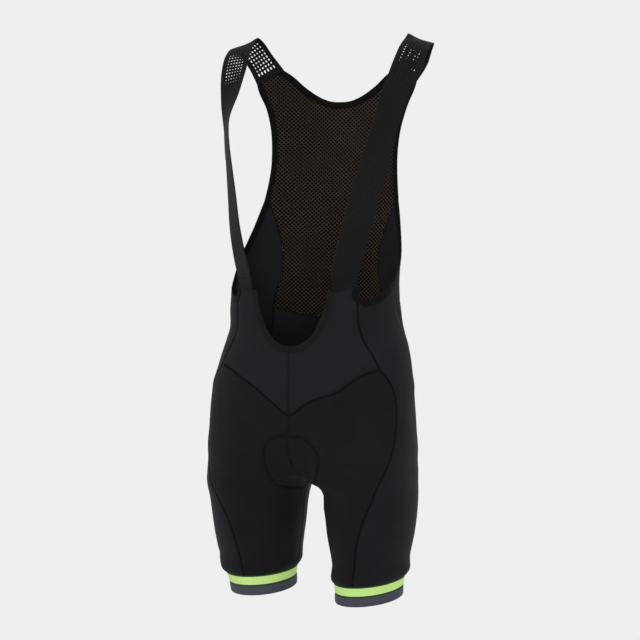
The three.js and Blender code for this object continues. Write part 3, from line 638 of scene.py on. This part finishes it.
inside_heights = heights_between(INSIDE_HEIGHTS, 60)
inside_front = np.stack([np.full(61, -180.0), inside_heights], -1)
front_middle = joined(middle_run(heights_between(FRONT_HEIGHTS, 50), -1), inside_front)
side_front_lower = seam(SIDE_FRONT_LOWER, 110)
leg_grid = fill(v_seam, hem_run(-180, -89, 66), front_middle, side_front_lower, front_base)
leg_jersey = jersey("leg_jersey", "#080709", "#1d1a1f")
for piece, word in panel("leg_front", leg_grid, (1.1, 0.3, 0.5, 1.1), leg_jersey, over_pad):
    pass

# One long curved piece a side, of slightly bluer jersey, from the armhole and
# the edge of the net down the outside of the leg to the hem band.
ARMHOLE_UNDER = [
    [-45.5, -390], [-40, -394], [-32, -391], [-21, -383], [-9, -370], [2, -354], [13, -338],
    [24, -320], [34, -293], [41, -265], [45, -246]]
MESH_SIDE = [[45, -246], [48.5, -266], [52, -292], [55, -325], [53, -356], [49.5, -383], [48, -408]]
SIDE_BACK = [[48, -408], [47, -450], [43, -510], [38, -570], [35, -620], [38, -680], [46, -740], [54, -811]]

no_base = lambda z: 0 * z
armhole_under = seam(ARMHOLE_UNDER, 84)
side_rear = joined(seam(MESH_SIDE, 36), seam(SIDE_BACK, 128))
side_front = joined(seam(SIDE_FRONT_UPPER, 45), seam(SIDE_FRONT_LOWER, 119))
side_grid = fill(armhole_under, hem_run(-89, 54, 84), side_front, side_rear, no_base)
side_jersey = jersey("side_jersey", "#09090b", "#211f25")
for piece, word in panel("side_panel", side_grid, (0.6, 0.3, 1.1, 1.1), side_jersey, hem_puff):
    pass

# One panel a side of black jersey, from the net at the small of the back over
# the seat and down the back of the leg, joined at the middle back.
MESH_BOTTOM = [[89, -424], [82, -422.5], [68, -417], [48, -408]]
BACK_HEIGHTS = [-424, -470, -514, -553, -584, -606, -624, -639, -651, -659, CROTCH]

back_base = lambda z: middle_angle(z, 1)
mesh_bottom = snapped(seam(MESH_BOTTOM, 72), 0, 1)
inside_back = np.stack([np.full(61, 180.0), inside_heights], -1)
back_middle = joined(middle_run(heights_between(BACK_HEIGHTS, 100), 1), inside_back)
seat_grid = fill(mesh_bottom, hem_run(180, 54, 72), back_middle, seam(SIDE_BACK, 160), back_base)
# Painted light: the seat's jersey is a paler copy of the same black jersey, to brighten the shaded inside of
# the seat.
seat_jersey = jersey("seat_jersey", "#0d0c0e", "#262427")
for piece, word in panel("leg_back", seat_grid, (0.9, 0.3, 1.0, 1.1), seat_jersey, hem_puff):
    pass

# One piece of knitted net from the neck to the small of the back: a dark close
# ground with a raised honeycomb of browner yarn, the same on both faces.
STRAP_BACK = [[46, -57.5], [56.5, -44]]
NECK_BACK = [[56.5, -44], [62, -55.5], [69, -74.5], [76, -88.5], [82, -95.8], [86, -98], [89, -98.4]]
ARMHOLE_BACK = [
    [45, -246], [47.5, -225], [50, -195], [51.5, -160], [52, -125], [50.6, -95], [47.6, -73],
    [46, -57.5]]
NET_THICK, NET_WIDE, NET_HIGH = 1.1, 7.0, 6.1  # whole thickness and one cell, mm

neck_back = snapped(seam(NECK_BACK, 56), 56, 1)
net_top = joined(seam(STRAP_BACK, 16), neck_back)[::-1]
net_right = joined(seam(ARMHOLE_BACK, 70)[::-1], seam(MESH_SIDE, 60))
net_middle = middle_run(np.linspace(-98.4, -424, 131), 1)
net_grid = fill(net_top, mesh_bottom, net_middle, net_right, back_base)


def both_halves(half):
    """A half grid and its mirror as one grid across the middle."""
    return np.concatenate([(half * [-1, 1, 1])[:, :0:-1], half], 1)


def sway(p):
    """Soft waves of the hanging net, more where nothing holds it."""
    high = step(-p[..., 2], 60, 140) * (1 - step(-p[..., 2], 380, 424))
    x, z = p[..., 0], p[..., 2]
    return high * (0.9 * np.sin(x / 24 + z / 60) + 0.5 * np.sin(x / 13 - z / 37))


def yarn(name, deep, pale, period):
    """Matt knitting yarn: fine twisted plies across a slightly uneven tone."""
    material, s = new_material(name)
    place = s.node("ShaderNodeTexCoord", {}, {}, out=3)
    parts = s.node("ShaderNodeSeparateXYZ", {}, {0: place})
    plies = (parts * 0.8 + parts.output(2)).wave(period)
    fuzz = s.node("ShaderNodeTexNoise", {}, {"Vector": place, "Scale": 1400.0, "Detail": 3.0})
    bloom = s.node("ShaderNodeTexNoise", {}, {"Vector": place, "Scale": 30.0, "Detail": 2.0})
    colour = mixed(s, plies * 0.3 + fuzz * 0.4 + bloom * 0.3, linear(deep), linear(pale))
    bump = s.node("ShaderNodeBump", {}, {"Strength": 0.5, "Distance": 0.0002, "Height": plies + fuzz})
    return finish_material(s, material, {
        "Base Color": colour, "Roughness": fuzz * 0.1 + 0.75, "Normal": bump,
        "Specular IOR Level": 0.05, "Sheen Weight": 0.01, "Sheen Roughness": 0.6})


net_points = body_point(net_grid[..., 0], net_grid[..., 1])
ground = both_halves(net_points)
ground_n = body_normal(ground)
lift = sway(ground)[..., None]
ground_faces = grid_faces(ground.shape[0] - 1, ground.shape[1] - 1)
*_, net_u, net_v = edge_distance(ground)
ground_piece = cloth_mesh(
    "back_net_ground", posed(ground + ground_n * (lift - 0.35)), posed(ground + ground_n * (lift - 0.75)),
    ground_faces, np.stack([net_u, net_v], -1))
ground_piece.data.materials.append(yarn("net_ground_yarn", "#010101", "#040303", 0.0009))


# arc length round the back from the middle, for a table of levels and angles
LEVEL_Z, LEVEL_A = np.linspace(-430, -36, 110), np.linspace(90, 40, 500)
level_p = body_point(LEVEL_A[None], LEVEL_Z[:, None])
level_steps = np.linalg.norm(np.diff(level_p[..., :2], axis=1), axis=-1)
level_s = np.hstack([np.zeros((110, 1)), level_steps.cumsum(1)])
ROUND = np.linspace(0, 190, 500)
level_a = np.stack([np.interp(ROUND, s, LEVEL_A) for s in level_s])


def sampled(values, places, z, at):
    """Value of a levels table at heights z and places at, between its entries."""
    fi = np.clip((z - LEVEL_Z[0]) / (LEVEL_Z[1] - LEVEL_Z[0]), 0, 108.999)
    fj = np.clip((at - places[0]) / (places[1] - places[0]), 0, len(places) - 1.001)
    i, j = fi.astype(int), fj.astype(int)
    a, b = fi - i, fj - j
    low = values[i, j] * (1 - b) + values[i, j + 1] * b
    return low * (1 - a) + (values[i + 1, j] * (1 - b) + values[i + 1, j + 1] * b) * a


def laid_flat(run):
    """A run of angles and heights as arc length from the middle and height."""
    return np.stack([sampled(level_s, LEVEL_A, run[:, 1], run[:, 0]), run[:, 1]], -1)


half_outline = laid_flat(np.vstack([net_grid[0], net_grid[1:, -1], net_grid[-1, -2::-1]]))
half_outline[[0, -1], 0] = 0
outline = np.vstack([half_outline, (half_outline * [-1, 1])[-2::-1]])


def inside_outline(points):
    """True where a flat point lies in the panel: odd crossings of its edges."""
    x, z = points[..., 0], points[..., 1]
    odd = np.zeros(x.shape, bool)
    for (ax, az), (bx, bz) in zip(outline[:-1], outline[1:]):
        if az != bz:
            odd ^= ((z < az) != (z < bz)) & (x < ax + (bx - ax) * (z - az) / (bz - az))
    return odd


def drawn_in(points):
    """Flat points outside the panel, moved to the nearest point of its edge."""
    flat = points.reshape(-1, 2).copy()
    out = ~inside_outline(flat)
    away = flat[out]
    best, spot = np.full(len(away), 1e9), away.copy()
    for a, b in zip(outline[:-1], outline[1:]):
        ab = b - a
        t = np.clip((away - a) @ ab / max(ab @ ab, 1e-9), 0, 1)[:, None]
        near = a + t * ab
        d = np.linalg.norm(away - near, axis=1)
        spot[d < best], best = near[d < best], np.minimum(best, d)
    flat[out] = spot
    return flat.reshape(points.shape)


# one cell is a diamond whose sides are the yarns, round a rounded diamond hole
w, h = NET_WIDE / 2, NET_HIGH / 2
rim = np.array([
    [w, 0], [w / 2, h / 2], [0, h], [-w / 2, h / 2],
    [-w, 0], [-w / 2, -h / 2], [0, -h], [w / 2, -h / 2]])
hole = rim * np.tile([0.70, 0.74], 4)[:, None]
rows = np.arange(-430, -36, h)
staggered = np.arange(-26, 27)[None] * NET_WIDE + np.where(np.arange(len(rows)) % 2, w, 0)[:, None]
centres = np.stack([staggered, np.broadcast_to(rows[:, None], staggered.shape)], -1).reshape(-1, 1, 2)
centres = centres[inside_outline(centres[:, 0])]
cells = drawn_in(np.concatenate([centres + rim, centres + hole], 1))
flat = cells.reshape(-1, 2)
angle = sampled(level_a, ROUND, flat[:, 1], np.abs(flat[:, 0]))
yarn_p = body_point(angle, flat[:, 1])
yarn_p[:, 0] *= np.where(flat[:, 0] < 0, -1, 1)
yarn_n = body_normal(yarn_p)
at_hole = np.tile(np.repeat([0.0, 1.0], 8), len(cells))
crossing = np.tile(np.concatenate([[1.0, 0.0] * 4, [0.0] * 8]), len(cells))
rise = sway(yarn_p) + 0.12 * crossing
outer = posed(yarn_p + yarn_n * (rise - 0.42 * at_hole)[:, None])
inner = posed(yarn_p + yarn_n * (sway(yarn_p) - 0.12 * crossing - NET_THICK + 0.42 * at_hole)[:, None])
k = np.arange(8)
ring = np.stack([k, (k + 1) % 8, (k + 1) % 8 + 8, k + 8], -1)
quads = (ring[None] + 16 * np.arange(len(cells))[:, None, None]).reshape(-1, 4)


def merged(points, quads, inner):
    """Joins points that neighbouring cells share, so that the net is one piece."""
    key = np.round(points * 2e5).astype(np.int64)
    _, first, same = np.unique(key, axis=0, return_index=True, return_inverse=True)
    quads = same.reshape(-1)[quads]
    good = (np.diff(np.sort(quads, 1), axis=1) > 0).all(1)
    return points[first], inner[first], quads[good]


outer, inner, quads = merged(outer, quads, inner)
net_piece = cloth_mesh("back_net_yarn", outer, inner, quads)
net_piece.data.materials.append(yarn("net_yarn", "#1c1915", "#4e443a", 0.0007))
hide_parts("back_mesh")

# Soft folded elastic tape round the neck and both armholes, near black, sewn
# over the edge of the cloth. Two grooves stand for its rows of stitches.
ARMHOLE_TAPE, NECK_TAPE, TAPE, EDGE_SHADE_WIDTH = 8.0, 8.5, 2.0, 2.3
OUTER_CORNER, INNER_CORNER = [43.6, -61], [59.3, -39.7]


def tape_mesh(name, run, width, ends, mirror, slot="binding_tape"):
    """A tape from the seam to the free edge: a flat loop of a section with a
    rounded free edge and two grooves, carried along the run over the body."""
    p = body_point(run[:, 0], run[:, 1])
    n = body_normal(p)
    along = np.gradient(p, axis=0)
    for k in (0, -1):
        if abs(p[k, 0]) < 1e-6:
            along[k] *= [1, 0, 0]
    over = unit(np.cross(n, along)) * width
    length = np.concatenate([[0], np.linalg.norm(np.diff(p, axis=0), axis=1).cumsum()])
    for k, corner in zip((0, -1), ends):
        if corner is not None:
            near = 1 - step(np.abs(length - length[k]), 0, 13)
            over = over * (1 - near[:, None]) + (body_point(*corner) - p[k]) * near[:, None]
    share = np.array([-0.16, 0, 0.08, 0.2, 0.32, 0.45, 0.58, 0.68, 0.78, 0.88, 0.95, 0.99, 1.0])
    crown = np.array([0.55, 0.75, 0.45, 0.85, 0.95, 0.95, 0.85, 0.5, 0.8, 0.65, 0.3, -0.1, -0.7])
    place = slid(p[:, None], over[:, None] * share[None, :, None])
    normal = body_normal(place)
    wave = 0.1 * np.sin(length / 2.1)[:, None] * np.exp(-((share - 0.5) / 0.4) ** 2)
    rise = 0.4 * crown / 0.95 + wave
    bottom = -TAPE + 0.3 * (share > 0.9) * (share - 0.9) / 0.1
    bottom = np.where(share < 0, -1.5, bottom)
    outer = place + normal * rise[..., None]
    inner = place + normal * np.broadcast_to(bottom, rise.shape)[..., None]
    if mirror:
        both = [np.concatenate([(g * [-1, 1, 1])[:0:-1], g]) for g in (outer, inner)]
        outer, inner = both
        length = np.concatenate([-length[:0:-1], length])
        place, normal = (np.concatenate([(g * [-1, 1, 1])[:0:-1], g]) for g in (place, normal))
    uv = np.stack(np.broadcast_arrays(share[None] * width, length[:, None]), -1)
    return outer, inner, uv, place, normal


def tape_piece(name, parts, side, node, cloth):
    """The piece of a tape, its faces turned outward, in place of its node."""
    outer, inner, uv, place, normal = parts
    faces = grid_faces(outer.shape[0] - 1, outer.shape[1] - 1)
    i, j = outer.shape[0] // 3, 5
    turn = np.cross(place[i + 1, j] - place[i, j], place[i, j + 1] - place[i, j]) @ normal[i, j]
    if turn * side < 0:
        faces = faces[:, ::-1]
    flip = [side, 1, 1]
    piece = cloth_mesh(name, posed(outer * flip), posed(inner * flip), faces, uv)
    piece.data.materials.append(cloth)
    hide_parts(node)
    return piece


def ribbed(name, deep, pale, period, rough, bump_height=0.00025, edges=None, edge_shade_colour="#000000"):
    """Woven elastic: fine ribs across the band, with a soft uneven tone, and if
    wanted painted shade as a darker line at both edges, whose places are edges."""
    material, s = new_material(name)
    uv = s.node("ShaderNodeUVMap", {"uv_map": "cloth"}, {})
    parts = s.node("ShaderNodeSeparateXYZ", {}, {0: uv})
    across, along = parts, parts.output(1)
    ribs = across.wave(period)
    picks = (along + ribs * 0.3).wave(period * 0.8)
    place = s.node("ShaderNodeTexCoord", {}, {}, out=3)
    fuzz = s.node("ShaderNodeTexNoise", {}, {"Vector": place, "Scale": 1200.0, "Detail": 2.0})
    bloom = s.node("ShaderNodeTexNoise", {}, {"Vector": place, "Scale": 30.0, "Detail": 2.0})
    weave = ribs * 0.45 + picks * 0.3
    colour = mixed(s, weave + fuzz * 0.2 + bloom * 0.15, linear(deep), linear(pale))
    # Painted shade: a dark line at each edge, where the band dips under the cloth above and meets the band
    # below.
    if edges is not None:
        middle, half = (edges[0] + edges[1]) / 2, abs(edges[0] - edges[1]) / 2
        away = along.maths("ABSOLUTE", along - middle)
        line = away.maths("MULTIPLY", away - (half - EDGE_SHADE_WIDTH), 2.5, clamp=True)
        colour = mixed(s, line, colour, linear(edge_shade_colour))
    bump = s.node("ShaderNodeBump", {}, {
        "Strength": 0.5, "Distance": bump_height, "Height": weave + fuzz * 0.3})
    return finish_material(s, material, {
        "Base Color": colour, "Roughness": weave * 0.1 + rough, "Normal": bump,
        "Specular IOR Level": 0.06, "Sheen Weight": 0.01, "Sheen Roughness": 0.5})


tape_cloth = ribbed("binding_elastic", "#020202", "#0b0b0a", 0.8, 0.62)
bib_tape_cloth = ribbed("bib_binding_elastic", "#060606", "#1b1a1b", 0.8, 0.62)
armhole_run = joined(seam(ARMHOLE_FRONT, 12), seam(ARMHOLE_UNDER, 110), seam(ARMHOLE_BACK, 100))
arm_parts = tape_mesh("armhole", armhole_run, ARMHOLE_TAPE, (None, OUTER_CORNER), False)
for side, word in ((1, "left"), (-1, "right")):
    tape_piece("armhole_binding_" + word + "_tape", arm_parts, side,
               "armhole_binding_" + word, tape_cloth)
u_run = snapped(seam(U_NECK, 90), 0, -1)
tape_piece("neck_binding_front_tape", tape_mesh("u", u_run, NECK_TAPE, (None, None), True), 1,
           "neck_binding_front", bib_tape_cloth)
back_run = snapped(seam(NECK_BACK, 110), 110, 1)[::-1]
tape_piece("neck_binding_back_tape", tape_mesh("neck", back_run, -NECK_TAPE, (None, INNER_CORNER), True), 1,
           "neck_binding_back", tape_cloth)

# Flat woven elastic straps, 44 mm wide, with a field of small cut-out holes
# down the middle. Each is sewn to the bib in front and to the net behind.
# x, y, z, turn of the left strap, turn of the right, tilt
STRAP = np.array([
    [81.5, -100, -350, 50, 40, 12],
    [89, -98, -322, 42, 43, 10],
    [98.5, -94, -281, 34, 47, 8],
    [107.5, -85.5, -236, 30, 50, 6],
    [119.5, -70, -186, 38, 54, 6],
    [130.5, -52, -134, 50, 57, 6],
    [137, -25.5, -82, 44, 30, 5],
    [142, -2, -43, 16, 6, 6],
    [144.5, 23, -14, -4, -6, 14],
    [145, 54, 0.5, -15, -15, 19],
    [140, 67, -6.5, -12, -12, 23],
    [131, 76, -24, -8, -8, 28],
])
STRAP_WIDTH, STRAP_THICK, STRAP_STEPS = 44.0, 1.3, 34
HOLE_COLUMNS, HOLE_PITCH, ROW_PITCH = 6, 4.0, 6.0
HOLE_WIDE, HOLE_LONG = 1.75, 3.1


def strap_surface(turn_column, share, across):
    """Points and normals of a strap at a share of its length and width: a
    straight line across, carried and turned along a smooth path, that ends on
    the curves of its two seams."""
    base_run = seam(STRAP_BASE, 24)
    back_run = np.vstack([OUTER_CORNER, seam(STRAP_BACK, 2), INNER_CORNER])[::-1]
    base = body_point(base_run[:, 0], base_run[:, 1])
    back = body_point(back_run[:, 0], back_run[:, 1])
    turn, tilt = np.radians(STRAP[:, turn_column]), np.radians(STRAP[:, 5])
    w = np.stack([np.cos(turn) * np.cos(tilt), np.sin(turn) * np.cos(tilt), -np.sin(tilt)], -1)
    w = w * STRAP_WIDTH / 2
    centre = np.vstack([(base[0] + base[-1]) / 2, STRAP[:, :3], (back[0] + back[-1]) / 2])
    reach = np.vstack([(base[-1] - base[0]) / 2, w, (back[-1] - back[0]) / 2])
    at = np.linspace(0, len(centre) - 1, 1201)
    path = curve(centre, at)
    length = np.concatenate([[0], np.linalg.norm(np.diff(path, axis=0), axis=1).cumsum()])
    place = np.interp(share * length[-1], length, at)
    c, reach = curve(centre, place), curve(reach, place)
    t = unit(curve(centre, np.minimum(place + 0.01, at[-1])) - curve(centre, np.maximum(place - 0.01, 0)))
    square = unit(reach - (reach * t).sum(-1, keepdims=True) * t)
    square = square * np.linalg.norm(reach, axis=-1, keepdims=True)
    steps = share * STRAP_STEPS
    hold = np.minimum(1, np.minimum(steps / 3, (STRAP_STEPS - steps) / 3))[:, None]
    half = reach * (1 - hold) + square * hold
    late = np.interp(across, [0, 0.25, 0.5, 0.75, 1], [0, 0.17, 0.5, 0.83, 1])
    f = across + (late - across) * share
    p = c + half * (2 * f - 1)[:, None]
    n = unit(np.cross(square, t))
    for line, near in ((base, 1 - steps), (back, steps - STRAP_STEPS + 1)):
        near = np.clip(near, 0, 1)[:, None]
        spot = np.stack([np.interp(across, np.linspace(0, 1, len(line)), line[:, k]) for k in range(3)], -1)
        p = p * (1 - near) + spot * near
        n = unit(n * (1 - near) + body_normal(spot) * near)
    return p, n, length[-1]


def strap_pattern(length):
    """The strap laid flat: cells with a rounded hole down the middle, plain
    quads beside them and at the ends. The holes stand open where the strap is
    stretched over the shoulder and are half closed below. Gives flat points."""
    margin = (STRAP_WIDTH - HOLE_COLUMNS * HOLE_PITCH) / 2
    rows = int((length - 16) // ROW_PITCH)
    ends = (length - rows * ROW_PITCH) / 2
    middle = margin + np.arange(0, HOLE_COLUMNS + 0.5, 0.5) * HOLE_PITCH
    xs = np.concatenate([np.linspace(0, margin, 5)[:-1], middle, STRAP_WIDTH - np.linspace(margin, 0, 5)[1:]])
    ys = np.concatenate([np.linspace(0, ends, 4)[:-1], ends + np.arange(0, rows + 0.5, 0.5) * ROW_PITCH,
                         length - np.linspace(ends, 0, 4)[1:]])
    gy, gx = np.meshgrid(ys, xs, indexing="ij")
    wide = len(xs)
    quads = grid_faces(len(ys) - 1, wide - 1)
    i, j = quads[:, 0] // wide, quads[:, 0] % wide
    holed = (i >= 3) & (i < 3 + 2 * rows) & (j >= 4) & (j < 4 + 2 * HOLE_COLUMNS)
    grid_points = np.stack([gx.ravel(), gy.ravel()], -1)
    r, c = np.mgrid[0:rows, 0:HOLE_COLUMNS]
    mid = (3 + 2 * r.ravel() + 1) * wide + 4 + 2 * c.ravel() + 1
    around = np.array([1, wide + 1, wide, wide - 1, -1, -wide - 1, -wide, -wide + 1])
    rim = mid[:, None] + around
    a = np.arange(8) * math.pi / 4
    oval = np.stack([np.cos(a) * HOLE_WIDE / 2, np.sin(a) * HOLE_LONG / 2], -1)
    oval = oval * np.tile([1, 1.12], 4)[:, None]
    uneven = 1 + 0.12 * np.sin(mid * 12.9898)[:, None, None]
    stretched = np.interp(grid_points[mid][:, 1] / length, [0.64, 0.7], [0.4, 1.0])[:, None, None]
    spread = np.interp(grid_points[mid][:, 1] / length, [0.78, 0.82], [1.35, 0.95])[:, None, None]
    spread = np.concatenate([spread, np.ones_like(spread)], -1)
    holes = grid_points[mid][:, None] + oval * uneven * stretched * spread
    inner = len(grid_points) + np.arange(len(mid) * 8).reshape(-1, 8)
    ring = np.stack([rim, np.roll(rim, -1, 1), np.roll(inner, -1, 1), inner], -1).reshape(-1, 4)[:, ::-1]
    points = np.concatenate([grid_points, holes.reshape(-1, 2)])
    quads = np.concatenate([quads[~holed], ring])
    used, quads = np.unique(quads, return_inverse=True)
    return points[used], quads.reshape(-1, 4)


strap_cloth = ribbed("strap_elastic_weave", "#070607", "#1a191a", 1.1, 0.6)
for turn_column, side, word in ((3, 1, "left"), (4, -1, "right")):
    length = strap_surface(turn_column, np.array([0.0]), np.array([0.0]))[2]
    flat, quads = strap_pattern(length)
    p, n, _ = strap_surface(turn_column, flat[:, 1] / length, flat[:, 0] / STRAP_WIDTH)
    edge = np.minimum(flat[:, 0], STRAP_WIDTH - flat[:, 0])
    curl = 0.9 * np.sin(flat[:, 1] / 37 + side) * (flat[:, 0] / STRAP_WIDTH - 0.5)
    curl = curl - 0.35 * np.exp(-(edge / 1.2) ** 2)
    held = np.minimum(1, np.minimum(flat[:, 1], length - flat[:, 1]) / 25)
    p = p + n * (curl * held)[:, None]
    flip = [side, 1, 1]
    faces = quads if side < 0 else quads[:, ::-1]
    piece = cloth_mesh("strap_" + word + "_webbing", posed(p * flip), posed((p - n * STRAP_THICK) * flip),
                       faces, flat)
    piece.data.materials.append(strap_cloth)
    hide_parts("strap_" + word)

# Two elastic rings a leg, sewn on below the leg cloth: a bright green band and
# under it a grey gripper band that holds the hem on the leg.
HEM_MIDDLE, HEM_BOTTOM, BAND_THICK = -828, -843, 1.8


def band_ring(name, top, bottom, side, material, node):
    """A closed ring: the body's level carried down the band, a little crowned
    between its two pulled-in edges."""
    angle = np.linspace(-180, 180, 145)[:-1]
    share = np.array([0, 0.04, 0.1, 0.25, 0.4, 0.55, 0.7, 0.85, 0.93, 0.97, 1.0])
    z = top + (bottom - top) * share
    p = body_point(angle[None], z[:, None])
    n = body_normal(p)
    crown = np.interp(share, [0, 0.04, 0.1, 0.5, 0.93, 0.97, 1], [-0.9, -0.3, 0.1, 0.3, 0.1, -0.2, -0.8])
    wave = 0.2 * np.sin(np.radians(angle) * 7 + side + top) + 0.12 * np.sin(np.radians(angle) * 17 + top)
    rise = crown[:, None] + wave[None] * np.sin(np.pi * share)[:, None]
    flip = [side, 1, 1]
    outer = posed((p + n * rise[..., None]) * flip)
    inner = posed((p - n * (BAND_THICK - 0.3 * np.sin(np.pi * share)[:, None, None])) * flip)
    faces = grid_faces(len(z) - 1, len(angle), wrap=True)
    round_mm = np.radians(angle) * 52
    uv = np.stack(np.broadcast_arrays(round_mm[None], z[:, None]), -1)
    piece = cloth_mesh(name, outer, inner, faces if side > 0 else faces[:, ::-1], uv)
    piece.data.materials.append(material)
    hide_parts(node)


# The dark green lines at the green band's top and bottom edges are painted shade of the grooves at its joins.
green_elastic = ribbed("green_elastic_weave", "#8abd4c", "#d2f0a0", 1.3, 0.6, 0.0003,
                       (HEM_TOP, HEM_MIDDLE), "#2b4a16")
grey_gripper = ribbed("grey_gripper_weave", "#2a2c33", "#4c4e57", 1.0, 0.5, 0.0002)
for side, word in ((1, "left"), (-1, "right")):
    band_ring("hem_green_" + word + "_band", HEM_TOP - 0.1, HEM_MIDDLE + 0.1, side,
              green_elastic, "hem_green_" + word)
    band_ring("hem_grey_" + word + "_band", HEM_MIDDLE - 0.1, HEM_BOTTOM, side,
              grey_gripper, "hem_grey_" + word)

# One moulded foam pad, covered in dark brushed cloth, sewn inside from the
# front, under and up the seat, with a long groove down its middle.
PAD_LIFT, PAD_CORE, PAD_RIM = 1.4, 6.0, 2.0
pad = both_halves(pad_half)
pad_n = body_normal(pad)
lane = np.abs(np.linspace(-1, 1, pad.shape[1]))[None]
row = np.linspace(0, 1, pad.shape[0])[:, None]
full = np.minimum(1, 1.9 * (1 - lane)) * np.minimum(1, np.minimum(row, 1 - row) * 6)
channel = np.exp(-(lane / 0.09) ** 2) * step(row, 0.1, 0.2) * (1 - step(row, 0.85, 0.95))
wings = np.exp(-((lane - 0.52) / 0.05) ** 2) * step(row, 0.3, 0.4) * (1 - step(row, 0.75, 0.9))
depth = PAD_RIM + (PAD_CORE - PAD_RIM) * step(full, 0, 1) - 1.8 * channel - 1.2 * wings
outer = posed(pad - pad_n * PAD_LIFT)
inner = posed(pad - pad_n * (PAD_LIFT + depth)[..., None])
pad_faces = grid_faces(pad.shape[0] - 1, pad.shape[1] - 1)
*_, pad_u, pad_v = edge_distance(pad)
pad_uv = np.stack([pad_u, pad_v], -1)
pad_piece = cloth_mesh("seat_pad_foam", outer, inner, pad_faces, pad_uv)
pad_piece.data.materials.append(jersey("pad_brushed_cloth", "#1a1a1e", "#3c3c43"))
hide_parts("seat_pad")

# The flat seams are covered by a zigzag of black stretch thread, laid on the
# outside of the cloth.
THREAD_WIDE, STITCH, SEAM_COVER = 0.42, 1.7, 3.4


def zigzag(name, lines):
    """Thread laid to and fro across each line: a five-sided tube whose path
    swings from side to side at every stitch, one tube for each line."""
    all_points, all_quads, start = [], [], 0
    for run, width, high, side in lines:
        p = body_point(run[:, 0], run[:, 1])
        length = np.concatenate([[0], np.linalg.norm(np.diff(p, axis=0), axis=1).cumsum()])
        count = int(length[-1] / STITCH) * 2
        at = np.linspace(0, length[-1], count + 1)
        q = np.stack([np.interp(at, length, p[:, k]) for k in range(3)], -1)
        n = body_normal(q)
        along = unit(np.gradient(q, axis=0))
        over = np.cross(n, along)
        swing = np.where(np.arange(count + 1) % 2, 1, -1) * (1 + 0.1 * np.sin(np.arange(count + 1) * 2.4))
        q = slid(q, over * (swing * width / 2)[:, None]) + n * high
        t = unit(np.gradient(q, axis=0))
        b = unit(np.cross(t, n))
        a = np.arange(5) * 2 * math.pi / 5
        section = b[:, None] * np.cos(a)[None, :, None] + n[:, None] * np.sin(a)[None, :, None] * 0.8
        tube = (q[:, None] + section * THREAD_WIDE / 2).reshape(-1, 3) * [side, 1, 1]
        quads = grid_faces(count, 5, wrap=True)
        quads = quads if side < 0 else quads[:, ::-1]
        all_points.append(posed(tube))
        all_quads.append(quads + start)
        start += len(tube)
    return mesh_piece(name, np.concatenate(all_points), np.concatenate(all_quads))


thread = yarn("black_stretch_thread", "#070606", "#1b1a1c", 0.0006)
narrow = SEAM_COVER * 0.7
flat_seams = [
    (v_seam, narrow, -0.35),
    (joined(seam(SIDE_FRONT_UPPER, 60), seam(SIDE_FRONT_LOWER, 200)), narrow, -0.35),
    (joined(seam(MESH_SIDE, 60), seam(SIDE_BACK, 200)), narrow, -0.35),
    (mesh_bottom, SEAM_COVER, -0.2)]
for side, word in ((1, "left"), (-1, "right")):
    piece = zigzag("seam_thread_" + word, [(run, width, high, side) for run, width, high in flat_seams])
    piece.data.materials.append(thread)

# A plain pale floor that runs out to a pale surround, even soft studio light,
# and the camera at the photograph's angle.
floor_mesh = bpy.data.meshes.new("floor")
floor_mesh.from_pydata([(-6, -6, -1.02), (6, -6, -1.02), (6, 6, -1.02), (-6, 6, -1.02)], [], [(0, 1, 2, 3)])
floor = bpy.data.objects.new("floor", floor_mesh)
bpy.context.scene.collection.objects.link(floor)
PALE = linear("#efefef")
floor_paint, s = new_material("pale_floor")
glow = s.node("ShaderNodeEmission", {}, {"Color": PALE, "Strength": 1.0})
s.node("ShaderNodeOutputMaterial", {}, {"Surface": glow})
floor_mesh.materials.append(floor_paint)

world = bpy.data.worlds.new("pale_surround")
bpy.context.scene.world = world
world.use_nodes = True
world.node_tree.nodes["Background"].inputs["Color"].default_value = PALE
world.node_tree.nodes["Background"].inputs["Strength"].default_value = 1.0


def soft_light(name, place, aim, size, watts):
    """A rectangular light that looks from its place at the aim."""
    light = bpy.data.lights.new(name, "AREA")
    light.shape, light.size, light.size_y, light.energy = "RECTANGLE", size[0], size[1], watts
    lamp = bpy.data.objects.new(name, light)
    bpy.context.scene.collection.objects.link(lamp)
    toward = np.array(aim, float) - place
    yaw = math.atan2(-toward[0], toward[1])
    lamp.rotation_euler = (math.pi / 2 + math.atan2(toward[2], math.hypot(toward[0], toward[1])), 0, yaw)
    lamp.location = place


soft_light("key_left", (-1.4, -1.9, 0.9), (0, 0, -0.45), (1.2, 1.6), 13)
soft_light("front_soft", (1.1, -2.4, 0.5), (0, 0, -0.4), (1.0, 1.0), 15)
soft_light("fill_right", (2.2, -1.3, 0.3), (0, 0, -0.45), (1.2, 1.8), 9)
soft_light("back_top", (0.3, 1.6, 1.1), (0, 0, -0.3), (1.6, 1.2), 9)

AROUND, DOWN, FAR, LENS = 22.0, 4.35, 2.8, 103.5
ASIDE, CAMERA_Z = 0.003, -0.211  # metres
swing = math.radians(AROUND)
camera = bpy.data.objects.new("camera", bpy.data.cameras.new("camera"))
bpy.context.scene.collection.objects.link(camera)
camera.location = (
    FAR * math.sin(swing) + ASIDE * math.cos(swing),
    -FAR * math.cos(swing) + ASIDE * math.sin(swing), CAMERA_Z)
camera.rotation_euler = (math.radians(90 - DOWN), 0, swing)
camera.data.sensor_width, camera.data.lens = 36.0, LENS
bpy.context.scene.camera = camera
bpy.context.scene.view_settings.view_transform = "Standard"
